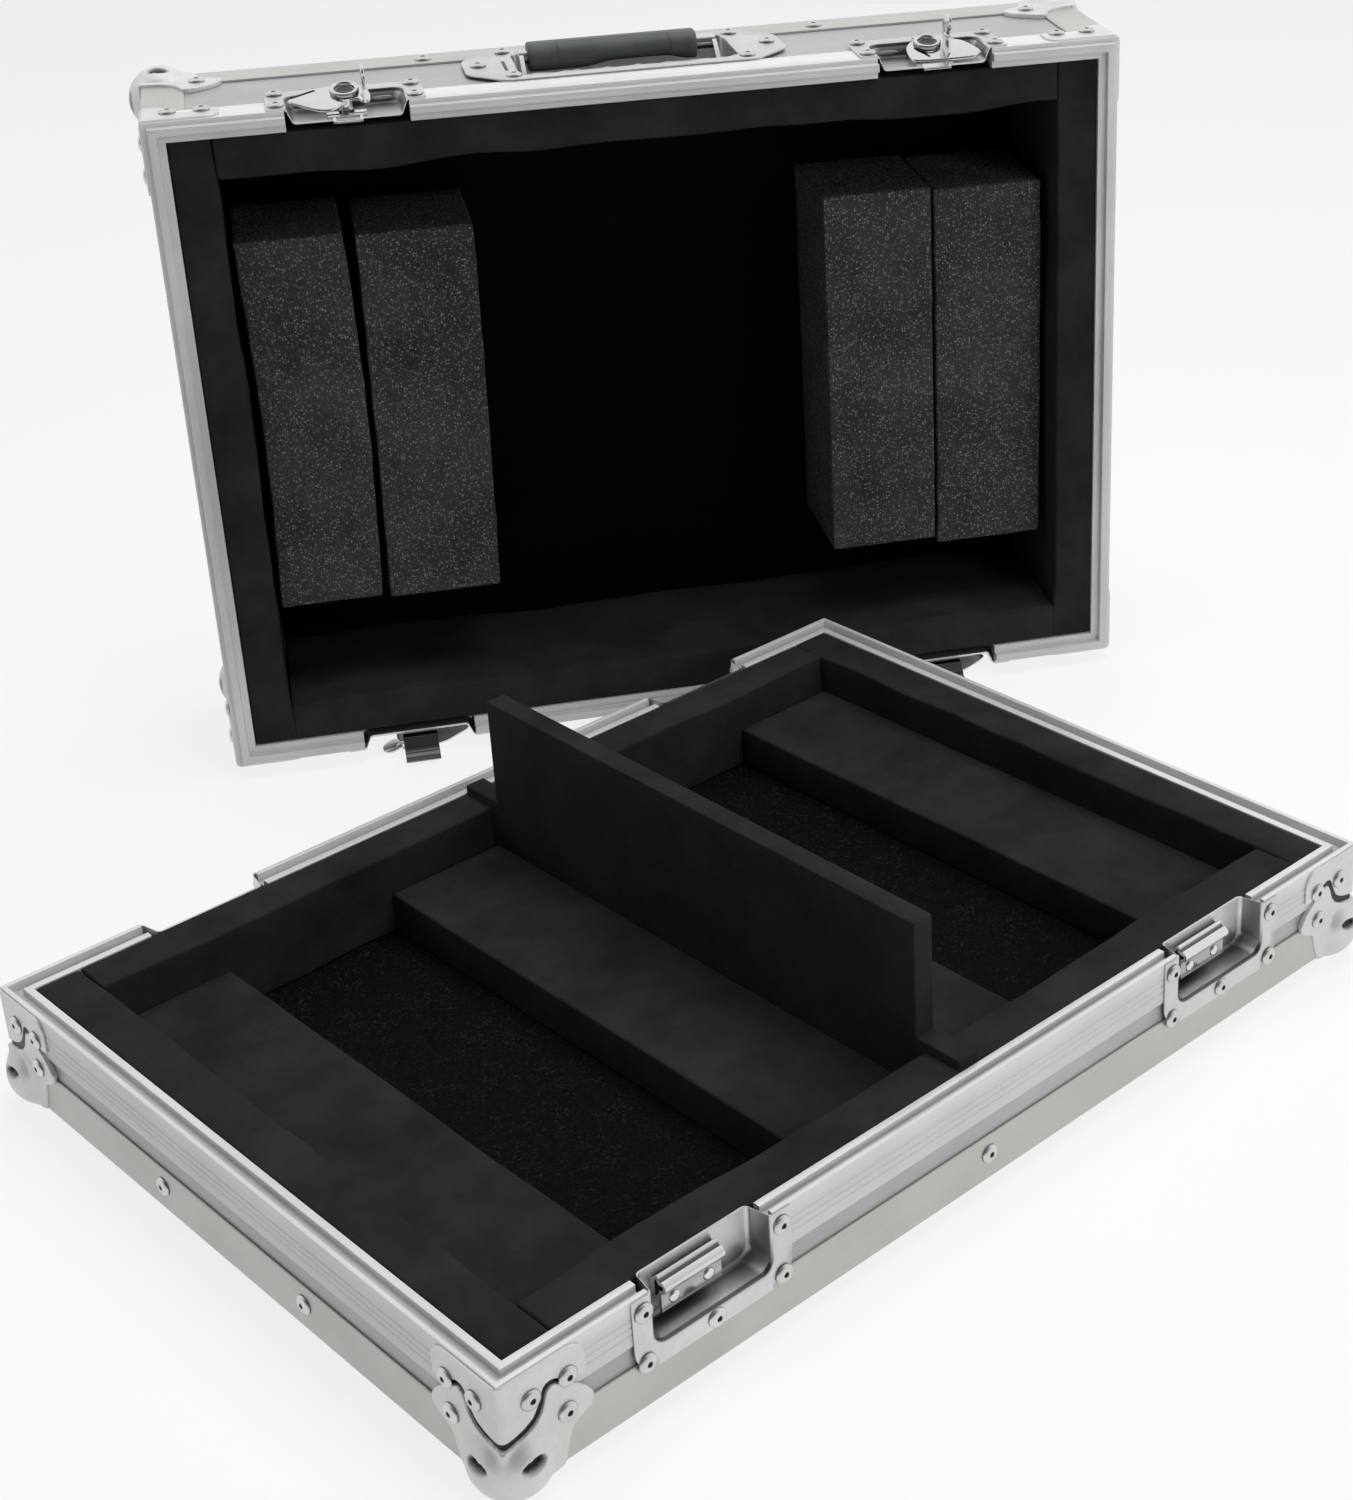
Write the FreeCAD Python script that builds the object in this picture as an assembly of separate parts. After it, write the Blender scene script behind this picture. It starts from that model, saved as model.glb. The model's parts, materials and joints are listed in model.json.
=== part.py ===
import FreeCAD, Part
import math
import os

# Flight case with a lift-off lid: a shallow base tray and a deep lid, both of laminated board
# in aluminium edging, with recessed twist latches, ball corners and foam fittings.
# Millimetres. The origin is on the floor under the middle of the base, +X along its long side,
# -Y its front, +Z up. The lid stands on its rear wall behind the base, its opening to the front.
# Each tray is drawn from its rim plane: Z is then the depth away from the opening.

# Case
case_width = 560.0
case_depth = 400.0
base_height = 58.0
lid_height = 108.0
panel_thickness = 7.0
metal_gauge = 1.5
edge_leg = 24.0
seat_gap = 0.3
fit_gap = 0.6
overrun = 40.0

# Where the lid stands behind the base
lid_turn = -30.6
lid_gap = 19.0
lid_shift = -86.4

# Rim extrusions: grooved on the base, tongued on the lid
rim_width = 12.0
rim_leg = 23.0
rim_inner_leg = 14.0
rim_lip = 2.6
rim_web = 1.5
groove_width = 5.4
groove_depth = 5.0
inner_lip_drop = 1.3
tongue_reach = 4.2
tongue_play = 0.4
score_depth = 0.35
score_width = 0.9
score_shares = (0.4, 0.56, 0.72)

# Ball corners and rim braces
ball_radius = 19.0
ball_drop = 8.5
ball_gauge = 1.5
ear_foot = 31.0
ear_rise = 23.5
ear_rivet_run = 33.0
ear_rivet_rise = 22.5
ear_radius = 11.5
ear_low_angle = -20.0
ear_high_angle = 118.0
under_ear_reach = 28.0
brace_reach = 44.0
brace_top = 1.0
brace_gap = 3.0
brace_round = 8.0
brace_bend_run = 27.0
brace_bend_rise = 34.5
brace_rivet_near = 14.7
brace_rivet_far = 33.2
brace_rivet_depth = 15.0

# Rivets
rivet_radius = 4.8
rivet_height = 1.7
rivet_hole_radius = 1.3
rivet_hole_depth = 1.1
edge_rivet_inset = 14.0
side_rivet_offset = 58.0
lid_rivet_offset = 118.0

# Latch dishes, the same pressing in base and lid, front and rear
latch_place_share = 0.5354
sheet_gauge = 1.2
dish_half_width = 32.5
dish_floor = 29.0
dish_recess = 12.0
dish_corner = 9.0
dish_top = 1.0
flange_margin = 11.5
flange_floor_margin = 10.5
flange_corner = 13.0
dish_rivet_depth = 8.0

# Keeper catches in the base dishes
catch_width = 33.0
catch_shift = -6.0
catch_gauge = 1.5
catch_foot_shares = (0.56, 0.24)
catch_line_shares = (
    (0.75, 0.18), (0.63, 0.29), (0.50, 0.25), (0.34, 0.30), (0.38, 0.38), (0.62, 0.42), (0.62, 0.80))
catch_stud_radius = 3.0
catch_stud_height = 0.9
catch_stud_depth = 18.0
catch_stud_offset = 9.5

# Twist latches in the lid dishes
spindle_depth = 14.0
spindle_radius = 4.0
rotor_lift = 3.4
rotor_gauge = 1.8
rotor_long = 31.5
rotor_short = 15.0
rotor_half_width = 13.5
rotor_tip_half = 4.5
rotor_end_half = 8.8
boss_radius = 8.0
boss_bore = 5.4
boss_height = 2.2
boss_bore_depth = 1.4
rotor_slot_length = 9.0
rotor_slot_width = 3.4
rotor_slot_share = 0.72
fin_place = 10.8
fin_height = 20.0
fin_half_width = 10.0
fin_root_half = 5.2
fin_gauge = 1.6
fin_barrel_radius = 1.3
fin_neck = 2.4
fin_shoulder = 5.0
fin_side = 14.0
lug_gauge = 1.8
lug_half = 2.0
lug_play = 0.25
pin_radius = 0.8
pin_play = 0.05
hook_width = 23.0
hook_lip_width = 17.0
hook_gauge = 1.6
hook_stroke = 8.8
hook_reach = 6.0
hook_bed_share = 0.66
hook_face = 2.0
hook_lip_inset = 5.4
hook_rise_start = 6.0
hook_rise_end = 0.5
cheek_share = 0.82

# Carrying handle in the lid's front wall
handle_shift = -4.0
handle_depth_share = 0.54
handle_plate_length = 188.0
handle_plate_width = 76.0
handle_plate_gauge = 1.5
handle_plate_chamfer = 21.0
handle_dish_length = 128.0
handle_dish_width = 56.0
handle_dish_depth = 27.0
handle_dish_corner = 8.0
handle_rivet_tip = 8.5
handle_rivet_run = 26.0
handle_rivet_side = 8.5
grip_length = 97.0
grip_radius = 10.5
grip_lift = 3.0
grip_offset = 6.0
grip_edge = 1.6
grip_bar_radius = 4.0
grip_bar_play = 0.05
arm_gauge = 3.0
arm_radius = 6.0
arm_gap = 1.5
hinge_offset = -15.0
hinge_drop = 13.0
hinge_pin_radius = 2.6
hinge_pin_play = 0.06

# Foam, carpet and felt
liner_thickness = 24.0
liner_drop = 1.5
carpet_thickness = 1.5
strip_height = 24.0
side_strip_width = 68.0
centre_strip_width = 152.0
divider_thickness = 12.0
divider_height = 90.0
divider_step = 28.0
divider_end_gap = 4.0
felt_thickness = 1.5
block_width = 66.5
block_height = 228.0
block_setback = 20.0
block_pitch = 69.0
block_side_gap = 5.2

# Sizes worked out from those above
half_width = case_width / 2
half_depth = case_depth / 2
rim_plane = ball_drop + base_height
wall_top = groove_depth + rim_web
wall_skin = metal_gauge + panel_thickness
liner_near = rim_width + seat_gap
liner_far = liner_near + liner_thickness
block_inner_edge = half_width - liner_far - block_side_gap - block_pitch - block_width
plug_half = dish_half_width + sheet_gauge
plug_floor = dish_floor + sheet_gauge
plug_back = dish_recess + sheet_gauge
flange_half = dish_half_width + flange_margin
corner_run = ear_rivet_run + ear_radius
handle_end = handle_plate_length / 2 + abs(handle_shift)
latch_room = half_width - corner_run - handle_end - 2 * flange_half
latch_offset = handle_end + flange_half + latch_place_share * latch_room
flange_floor = dish_floor + flange_floor_margin
carpet_depth = base_height - wall_skin - carpet_thickness
felt_depth = lid_height - wall_skin - felt_thickness
strip_depth = carpet_depth - strip_height
rotor_top = rotor_lift + rotor_gauge
fin_axis_lift = rotor_top + seat_gap + fin_barrel_radius
handle_depth = lid_height * handle_depth_share
grip_depth = handle_depth + grip_offset
hinge_depth = handle_depth + hinge_offset

ORIGIN = FreeCAD.Vector(0, 0, 0)
X_AXIS = FreeCAD.Vector(1, 0, 0)
Y_AXIS = FreeCAD.Vector(0, 1, 0)
Z_AXIS = FreeCAD.Vector(0, 0, 1)
WALL_TURNS = {"front": 0, "right": 90, "rear": 180, "left": 270}
LATCHES = {
    "front_left": {"wall": "front", "side": -1, "long": -1, "raised": True},
    "front_right": {"wall": "front", "side": 1, "long": 1, "raised": True},
    "rear_left": {"wall": "rear", "side": 1, "long": -1, "raised": False},
    "rear_right": {"wall": "rear", "side": -1, "long": -1, "raised": False},
}


def vec(x, y, z):
    return FreeCAD.Vector(x, y, z)


def box(x, y, z):
    """Block between two limits on each axis."""
    return Part.makeBox(x[1] - x[0], y[1] - y[0], z[1] - z[0], vec(x[0], y[0], z[0]))


def moved(shape, x=0, y=0, z=0):
    copy = shape.copy()
    copy.translate(vec(x, y, z))
    return copy


def turned(shape, axis, degrees):
    copy = shape.copy()
    copy.rotate(ORIGIN, axis, degrees)
    return copy


def flat(points):
    """Flat face with straight sides."""
    return Part.Face(Part.makePolygon(points + points[:1]))


def arc(start, middle, end):
    return Part.Arc(start, middle, end).toShape()


def group(shapes):
    """Separate solids kept in one node."""
    return Part.makeCompound([solid for shape in shapes for solid in shape.Solids])


def along(middle, half):
    """Limits at the same distance either side of a place."""
    return (middle - half, middle + half)


# Placing the two trays
lid_forward = vec(-math.sin(math.radians(lid_turn)), math.cos(math.radians(lid_turn)), 0)
lid_across = vec(math.cos(math.radians(lid_turn)), math.sin(math.radians(lid_turn)), 0)
base_corner = vec(half_width, half_depth, half_depth + ball_drop)
lid_spot = base_corner + lid_forward * lid_gap + lid_across * lid_shift
lid_placement = FreeCAD.Placement(lid_spot, FreeCAD.Rotation(Z_AXIS, lid_turn)).multiply(
    FreeCAD.Placement(ORIGIN, FreeCAD.Rotation(X_AXIS, -90)))


def in_base(shape):
    """Turn a tray drawn by depth into the base, open at the top."""
    return moved(shape.mirror(ORIGIN, Z_AXIS), z=rim_plane)


def in_lid(shape):
    """Stand a tray drawn by depth on its rear wall behind the base."""
    copy = shape.copy()
    copy.Placement = lid_placement.multiply(copy.Placement)
    return copy


def on_wall(shape, wall, offset=0):
    """Carry a piece drawn for the middle of a front wall at Y zero to its place on a wall."""
    reach = half_depth if wall in ("front", "rear") else half_width
    return turned(moved(shape, x=offset, y=-reach), Z_AXIS, WALL_TURNS[wall])


def wall_run(wall):
    return case_width if wall in ("front", "rear") else case_depth


# Edging and panels

def mitred_bar(profile, wall):
    """Bar of a constant section along one wall, mitred to its neighbours."""
    run = wall_run(wall)
    points = [vec(-run / 2, inward, depth) for inward, depth in profile]
    bar = flat(points).extrude(vec(run, 0, 0))
    plan = [
        vec(-run / 2, 0, -overrun),
        vec(run / 2, 0, -overrun),
        vec(run / 2 - edge_leg, edge_leg, -overrun),
        vec(edge_leg - run / 2, edge_leg, -overrun)]
    mitre = flat(plan).extrude(vec(0, 0, lid_height + base_height + overrun))
    return on_wall(bar.common(mitre), wall)


def scored_leg(bottom):
    """Points down the outer face of a rim leg, with its fine scored lines, bottom first."""
    points = [(0, bottom)]
    for share in reversed(score_shares):
        low = bottom * share + score_width / 2
        high = bottom * share - score_width / 2
        points += [(0, low), (score_depth, (low + high) / 2), (0, high)]
    return points


def rim_legs():
    """Points of the two legs that hold the panel, from the inner lip round to the outer leg."""
    return [
        (rim_width, wall_top),
        (wall_skin + metal_gauge, wall_top),
        (wall_skin + metal_gauge, rim_inner_leg),
        (wall_skin, rim_inner_leg),
        (wall_skin, wall_top),
        (metal_gauge, wall_top),
        (metal_gauge, rim_leg)] + scored_leg(rim_leg)


def groove_profile():
    groove_far = rim_lip + groove_width
    return [
        (0, 0),
        (rim_lip, 0),
        (rim_lip, groove_depth),
        (groove_far, groove_depth),
        (groove_far, inner_lip_drop),
        (rim_width, inner_lip_drop)] + rim_legs()


def tongue_profile():
    tongue_near = rim_lip + tongue_play
    tongue_far = rim_lip + groove_width - tongue_play
    return [
        (0, 0),
        (tongue_near, 0),
        (tongue_near, -tongue_reach),
        (tongue_far, -tongue_reach),
        (tongue_far, 0),
        (rim_width, 0)] + rim_legs()


def dish_gaps(wall, floor, back):
    """Room for the two latch dishes of a front or rear wall."""
    if wall not in ("front", "rear"):
        return []
    gap = box(along(0, plug_half + fit_gap), (-overrun, back), (-overrun, floor))
    return [on_wall(gap, wall, side * latch_offset) for side in (-1, 1)]


def cut_all(shape, tools):
    return shape.cut(tools) if tools else shape


def rims(profile):
    """Four rim extrusions, those at the front and rear broken at the dishes."""
    bars = []
    for wall in WALL_TURNS:
        bar = mitred_bar(profile, wall)
        bars.append(cut_all(bar, dish_gaps(wall, rim_leg + overrun, rim_width + overrun)))
    return group(bars)


def edge_angles(height):
    """Four angle extrusions round the outer edge of a tray's flat side."""
    profile = [
        (0, height - edge_leg),
        (metal_gauge, height - edge_leg),
        (metal_gauge, height - metal_gauge),
        (edge_leg, height - metal_gauge),
        (edge_leg, height),
        (0, height)]
    return group([mitred_bar(profile, wall) for wall in WALL_TURNS])


def corner_angles(height):
    """Short angles on the upright corners, between the rim and the edge angles."""
    outline = [
        vec(0, 0, rim_leg),
        vec(edge_leg, 0, rim_leg),
        vec(edge_leg, metal_gauge, rim_leg),
        vec(metal_gauge, metal_gauge, rim_leg),
        vec(metal_gauge, edge_leg, rim_leg),
        vec(0, edge_leg, rim_leg)]
    angle = flat(outline).extrude(vec(0, 0, height - edge_leg - rim_leg))
    return group(at_corners(angle))


def at_corners(piece):
    """Copies of a piece drawn for the front left corner at X and Y zero."""
    places = [(-1, -1), (1, -1), (1, 1), (-1, 1)]
    return [
        moved(turned(piece, Z_AXIS, 90 * number), x=x * half_width, y=y * half_depth)
        for number, (x, y) in enumerate(places)]


def flat_panel(height):
    """Floor of the base or top of the lid."""
    return box(
        along(0, half_width - metal_gauge),
        along(0, half_depth - metal_gauge),
        (height - wall_skin, height - metal_gauge))


def wall_panel(wall, height):
    """Upright panel, its edge inside the rim, with its dish openings."""
    if wall in ("front", "rear"):
        half_run = half_width - metal_gauge
    else:
        half_run = half_depth - wall_skin
    panel = box(along(0, half_run), (metal_gauge, wall_skin), (wall_top, height - wall_skin))
    return cut_all(on_wall(panel, wall), dish_gaps(wall, plug_floor + fit_gap, wall_skin + overrun))


# Corner hardware

def ear_plate():
    """Rivet ear of a ball corner on the front face, drawn by run and by rise from the corner."""
    def on_lobe(degrees):
        angle = math.radians(degrees)
        run = ear_rivet_run + ear_radius * math.cos(angle)
        rise = ear_rivet_rise + ear_radius * math.sin(angle)
        return vec(run, 0, -rise)

    low = on_lobe(ear_low_angle)
    high = on_lobe(ear_high_angle)
    fold = vec(-ball_gauge, 0, ball_gauge)
    foot = vec(ear_foot, 0, ball_gauge)
    top = vec(-ball_gauge, 0, -ear_rise)
    edges = [
        Part.makeLine(fold, foot),
        Part.makeLine(foot, low),
        arc(low, on_lobe((ear_low_angle + ear_high_angle) / 2), high),
        Part.makeLine(high, top),
        Part.makeLine(top, fold)]
    return Part.Face(Part.Wire(edges)).extrude(vec(0, -ball_gauge, 0))


def swap_sides(shape):
    """The same piece on the left face of the front left corner."""
    return shape.mirror(ORIGIN, vec(1, -1, 0))


def ball_corner():
    """Pressed cap over a tray's outer corner: a ball with three riveted ears."""
    inset = ball_radius - ball_drop
    centre = vec(inset, inset, -inset)
    ear = ear_plate()
    under_end = under_ear_reach + ear_radius
    under = [
        vec(-ball_gauge, -ball_gauge, 0),
        vec(under_ear_reach, -ball_gauge, 0),
        vec(under_end, under_ear_reach, 0),
        vec(under_end, under_end, 0),
        vec(under_ear_reach, under_end, 0),
        vec(-ball_gauge, under_ear_reach, 0)]
    under_ear = flat(under).extrude(vec(0, 0, ball_gauge))
    cap = Part.makeSphere(ball_radius, centre).fuse([ear, swap_sides(ear), under_ear])
    hollow = Part.makeSphere(ball_radius - ball_gauge, centre)
    corner = box((0, overrun * 2), (0, overrun * 2), (-overrun * 2, 0))
    return cap.cut([hollow, corner]).removeSplitter()


def ball_corners(height):
    return group(at_corners(moved(ball_corner(), z=height)))


def brace_plate():
    """One side of a rim brace: round at its free end, its lower edge following the ball corner's ear."""
    tip = base_height - ear_rise - brace_gap
    bend = base_height - brace_bend_rise - brace_gap
    free = brace_reach - brace_round
    corner = brace_round * (1 - math.sqrt(0.5))
    edges = [
        Part.makeLine(vec(0, 0, brace_top), vec(free, 0, brace_top)),
        arc(
            vec(free, 0, brace_top),
            vec(brace_reach - corner, 0, brace_top + corner),
            vec(brace_reach, 0, brace_top + brace_round)),
        Part.makeLine(vec(brace_reach, 0, brace_top + brace_round), vec(brace_reach, 0, bend)),
        Part.makeLine(vec(brace_reach, 0, bend), vec(brace_bend_run, 0, bend)),
        Part.makeLine(vec(brace_bend_run, 0, bend), vec(0, 0, tip)),
        Part.makeLine(vec(0, 0, tip), vec(0, 0, brace_top))]
    return Part.Face(Part.Wire(edges)).extrude(vec(0, -sheet_gauge, 0))


def corner_braces():
    """Folded plates that tie the rim's mitred corners."""
    side = brace_plate()
    tip = base_height - ear_rise - brace_gap
    fold = box((-sheet_gauge, 0), (-sheet_gauge, 0), (brace_top, tip))
    brace = side.fuse([swap_sides(side), fold]).removeSplitter()
    return group(at_corners(brace))


# Rivets

def rivet_head():
    """Domed pop rivet head standing on Z zero, with the pit its mandrel leaves."""
    dome_radius = (rivet_radius ** 2 + rivet_height ** 2) / (2 * rivet_height)
    dome = Part.makeSphere(dome_radius, vec(0, 0, rivet_height - dome_radius))
    keep = Part.makeCylinder(dome_radius, rivet_height)
    pit = Part.makeCylinder(rivet_hole_radius, rivet_height, vec(0, 0, rivet_height - rivet_hole_depth))
    return dome.common(keep).cut(pit)


def wall_rivet(run, depth, lift, wall):
    """Head on the outside of a wall."""
    head = turned(rivet_head(), X_AXIS, 90)
    return on_wall(moved(head, y=-lift, z=depth), wall, run)


def dish_rivets():
    """Five heads on each dish flange."""
    ear_run = (dish_half_width + flange_half) / 2
    low = (dish_floor + flange_floor) / 2
    spots = [(0, low)]
    for side in (-1, 1):
        spots += [(side * ear_run, dish_rivet_depth), (side * ear_run, low)]
    heads = []
    for wall in ("front", "rear"):
        for side in (-1, 1):
            for run, depth in spots:
                heads.append(wall_rivet(side * latch_offset + run, depth, sheet_gauge, wall))
    return heads


def corner_rivets(height):
    """Heads of the rim braces and of the ball corners' three ears."""
    heads = []
    for wall in WALL_TURNS:
        for side in (-1, 1):
            corner = side * wall_run(wall) / 2
            for inset in (brace_rivet_near, brace_rivet_far):
                heads.append(wall_rivet(corner - side * inset, brace_rivet_depth, sheet_gauge, wall))
            ear = corner - side * ear_rivet_run
            heads.append(wall_rivet(ear, height - ear_rivet_rise, ball_gauge, wall))
    heads += at_corners(moved(rivet_head(), x=under_ear_reach, y=under_ear_reach, z=height + ball_gauge))
    return heads


def edge_rivets(height, front_places):
    """Heads along the edge angles."""
    heads = []
    for wall in WALL_TURNS:
        places = front_places if wall in ("front", "rear") else (-side_rivet_offset, side_rivet_offset)
        for place in places:
            heads.append(wall_rivet(place, height - edge_rivet_inset, 0, wall))
    return heads


def base_rivets():
    return group(dish_rivets() + corner_rivets(base_height) + edge_rivets(base_height, (0,)))


def lid_rivets():
    places = (-lid_rivet_offset, lid_rivet_offset)
    return group(
        dish_rivets() + corner_rivets(lid_height) + edge_rivets(lid_height, places) + handle_rivets())


def handle_rivets():
    """Three heads at each end of the handle plate."""
    half = handle_plate_length / 2
    side_depth = handle_plate_width / 2 - handle_rivet_side
    heads = []
    for end in (-1, 1):
        tip = handle_shift + end * (half - handle_rivet_tip)
        run = handle_shift + end * (half - handle_rivet_run)
        heads.append(wall_rivet(tip, handle_depth, handle_plate_gauge, "front"))
        for side in (-1, 1):
            heads.append(wall_rivet(run, handle_depth + side * side_depth, handle_plate_gauge, "front"))
    return heads


# Latch dishes and keepers

def u_slab(half, top, floor, corner, y):
    """Slab with an open top and two round lower corners, between two limits in Y."""
    bend = corner * (1 - math.sqrt(0.5))
    points = {
        "left_top": vec(-half, y[0], top),
        "left_low": vec(-half, y[0], floor - corner),
        "left_bend": vec(bend - half, y[0], floor - bend),
        "left_floor": vec(corner - half, y[0], floor),
        "right_floor": vec(half - corner, y[0], floor),
        "right_bend": vec(half - bend, y[0], floor - bend),
        "right_low": vec(half, y[0], floor - corner),
        "right_top": vec(half, y[0], top)}
    edges = [
        Part.makeLine(points["left_top"], points["left_low"]),
        arc(points["left_low"], points["left_bend"], points["left_floor"]),
        Part.makeLine(points["left_floor"], points["right_floor"]),
        arc(points["right_floor"], points["right_bend"], points["right_low"]),
        Part.makeLine(points["right_low"], points["right_top"]),
        Part.makeLine(points["right_top"], points["left_top"])]
    return Part.Face(Part.Wire(edges)).extrude(vec(0, y[1] - y[0], 0))


def latch_dish():
    """Pressed tray open to the rim and to the front, with a riveted flange."""
    flange = u_slab(flange_half, dish_top, flange_floor, flange_corner, (-sheet_gauge, 0))
    plug = u_slab(plug_half, dish_top, plug_floor, dish_corner + sheet_gauge, (-sheet_gauge, plug_back))
    hollow = u_slab(dish_half_width, -overrun, dish_floor, dish_corner, (-overrun, dish_recess))
    return flange.fuse(plug).cut(hollow).removeSplitter()


def in_dishes(piece):
    """Four copies of a piece drawn for a dish."""
    return group([
        on_wall(piece, wall, side * latch_offset) for wall in ("front", "rear") for side in (-1, 1)])


def bent_sheet(line, gauge, width):
    """Strip folded along a line of inward and depth places, centred on X zero."""
    normals = []
    for start, end in zip(line, line[1:]):
        length = math.dist(start, end)
        normals.append(((start[1] - end[1]) / length, (end[0] - start[0]) / length))
    mitres = [normals[0]]
    for before, after in zip(normals, normals[1:]):
        spread = 1 + before[0] * after[0] + before[1] * after[1]
        mitres.append(((before[0] + after[0]) / spread, (before[1] + after[1]) / spread))
    mitres.append(normals[-1])
    left = []
    right = []
    for (inward, depth), (side_in, side_depth) in zip(line, mitres):
        left.append(vec(-width / 2, inward + side_in * gauge / 2, depth + side_depth * gauge / 2))
        right.append(vec(-width / 2, inward - side_in * gauge / 2, depth - side_depth * gauge / 2))
    return flat(left + right[::-1]).extrude(vec(width, 0, 0))


def keeper_catch():
    """Rolled steel catch on the back of a base dish, with its two studs."""
    line = [(dish_recess - catch_gauge / 2, depth * dish_floor) for depth in catch_foot_shares]
    line += [(inward * dish_recess, depth * dish_floor) for inward, depth in catch_line_shares]
    catch = bent_sheet(line, catch_gauge, catch_width)
    face = line[-1][0] - catch_gauge / 2
    studs = []
    for side in (-1, 1):
        studs.append(Part.makeCylinder(
            catch_stud_radius,
            catch_stud_height + catch_gauge / 2,
            vec(side * catch_stud_offset, face - catch_stud_height, catch_stud_depth),
            Y_AXIS))
    return moved(catch.fuse(studs).removeSplitter(), x=catch_shift)


# Twist latches, drawn for the front wall: X across, -Y outwards, Z by depth

def rotor(long_side):
    """Fish-shaped twist plate on its spindle, with a boss, a slot and two lugs for the fin."""
    far = long_side * rotor_long
    near = -long_side * rotor_short
    waist = long_side * (rotor_long - rotor_tip_half)
    blunt = -long_side * (rotor_short - rotor_tip_half / 2)

    def at(run, depth):
        return vec(run, -rotor_lift, depth)

    edges = [
        arc(at(waist, rotor_tip_half), at(0, rotor_half_width), at(blunt, rotor_end_half)),
        arc(at(blunt, rotor_end_half), at(near, 0), at(blunt, -rotor_end_half)),
        arc(at(blunt, -rotor_end_half), at(0, -rotor_half_width), at(waist, -rotor_tip_half)),
        arc(at(waist, -rotor_tip_half), at(far, 0), at(waist, rotor_tip_half))]
    plate = Part.Face(Part.Wire(edges)).extrude(vec(0, -rotor_gauge, 0))
    boss = Part.makeCylinder(boss_radius, boss_height, vec(0, -rotor_top, 0), -Y_AXIS)
    bore_floor = rotor_top + boss_height - boss_bore_depth
    bore = Part.makeCylinder(boss_bore, boss_bore_depth, vec(0, -bore_floor, 0), -Y_AXIS)
    spindle_foot = dish_recess - seat_gap
    spindle = Part.makeCylinder(spindle_radius, spindle_foot + rotor_lift, vec(0, spindle_foot, 0), -Y_AXIS)
    slot_run = far * rotor_slot_share
    slot_half = (rotor_slot_length - rotor_slot_width) / 2
    slot = box(along(slot_run, slot_half), (-rotor_top, 0), along(0, rotor_slot_width / 2))
    ends = [
        Part.makeCylinder(rotor_slot_width / 2, rotor_top, vec(slot_run + side * slot_half, 0, 0), -Y_AXIS)
        for side in (-1, 1)]
    lugs = []
    for side in (-1, 1):
        start = side * (fin_root_half + lug_play)
        depths = sorted((start, start + side * lug_gauge))
        lug = box(along(fin_place, lug_half), (-fin_axis_lift - fin_barrel_radius, -rotor_top), depths)
        hole = Part.makeCylinder(
            pin_radius + pin_play, lug_gauge, vec(fin_place, -fin_axis_lift, depths[0]), Z_AXIS)
        lugs.append(lug.cut(hole))
    body = plate.cut([slot] + ends).fuse([boss, spindle] + lugs).cut(bore)
    return moved(body.removeSplitter(), z=spindle_depth)


def fin(raised):
    """Folding wing on a small pin, standing up or laid flat."""
    outline = [
        vec(0, 0, -fin_root_half),
        vec(0, -fin_neck, -fin_root_half),
        vec(0, -fin_shoulder, -fin_half_width),
        vec(0, -fin_side, -fin_half_width),
        vec(0, -fin_side, fin_half_width),
        vec(0, -fin_shoulder, fin_half_width),
        vec(0, -fin_neck, fin_root_half),
        vec(0, 0, fin_root_half)]
    edges = [Part.makeLine(start, end) for start, end in zip(outline, outline[1:] + outline[:1])]
    edges[3] = arc(outline[3], vec(0, -fin_height, 0), outline[4])
    blade = moved(Part.Face(Part.Wire(edges)).extrude(vec(fin_gauge, 0, 0)), x=-fin_gauge / 2)
    barrel = Part.makeCylinder(fin_barrel_radius, 2 * fin_root_half, vec(0, 0, -fin_root_half), Z_AXIS)
    pin_half = fin_root_half + lug_play + lug_gauge
    pin = Part.makeCylinder(pin_radius, 2 * pin_half, vec(0, 0, -pin_half), Z_AXIS)
    wing = blade.fuse([barrel, pin]).removeSplitter()
    if not raised:
        wing = turned(wing, Z_AXIS, 90)
    return moved(wing, x=fin_place, y=-fin_axis_lift, z=spindle_depth)


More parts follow.
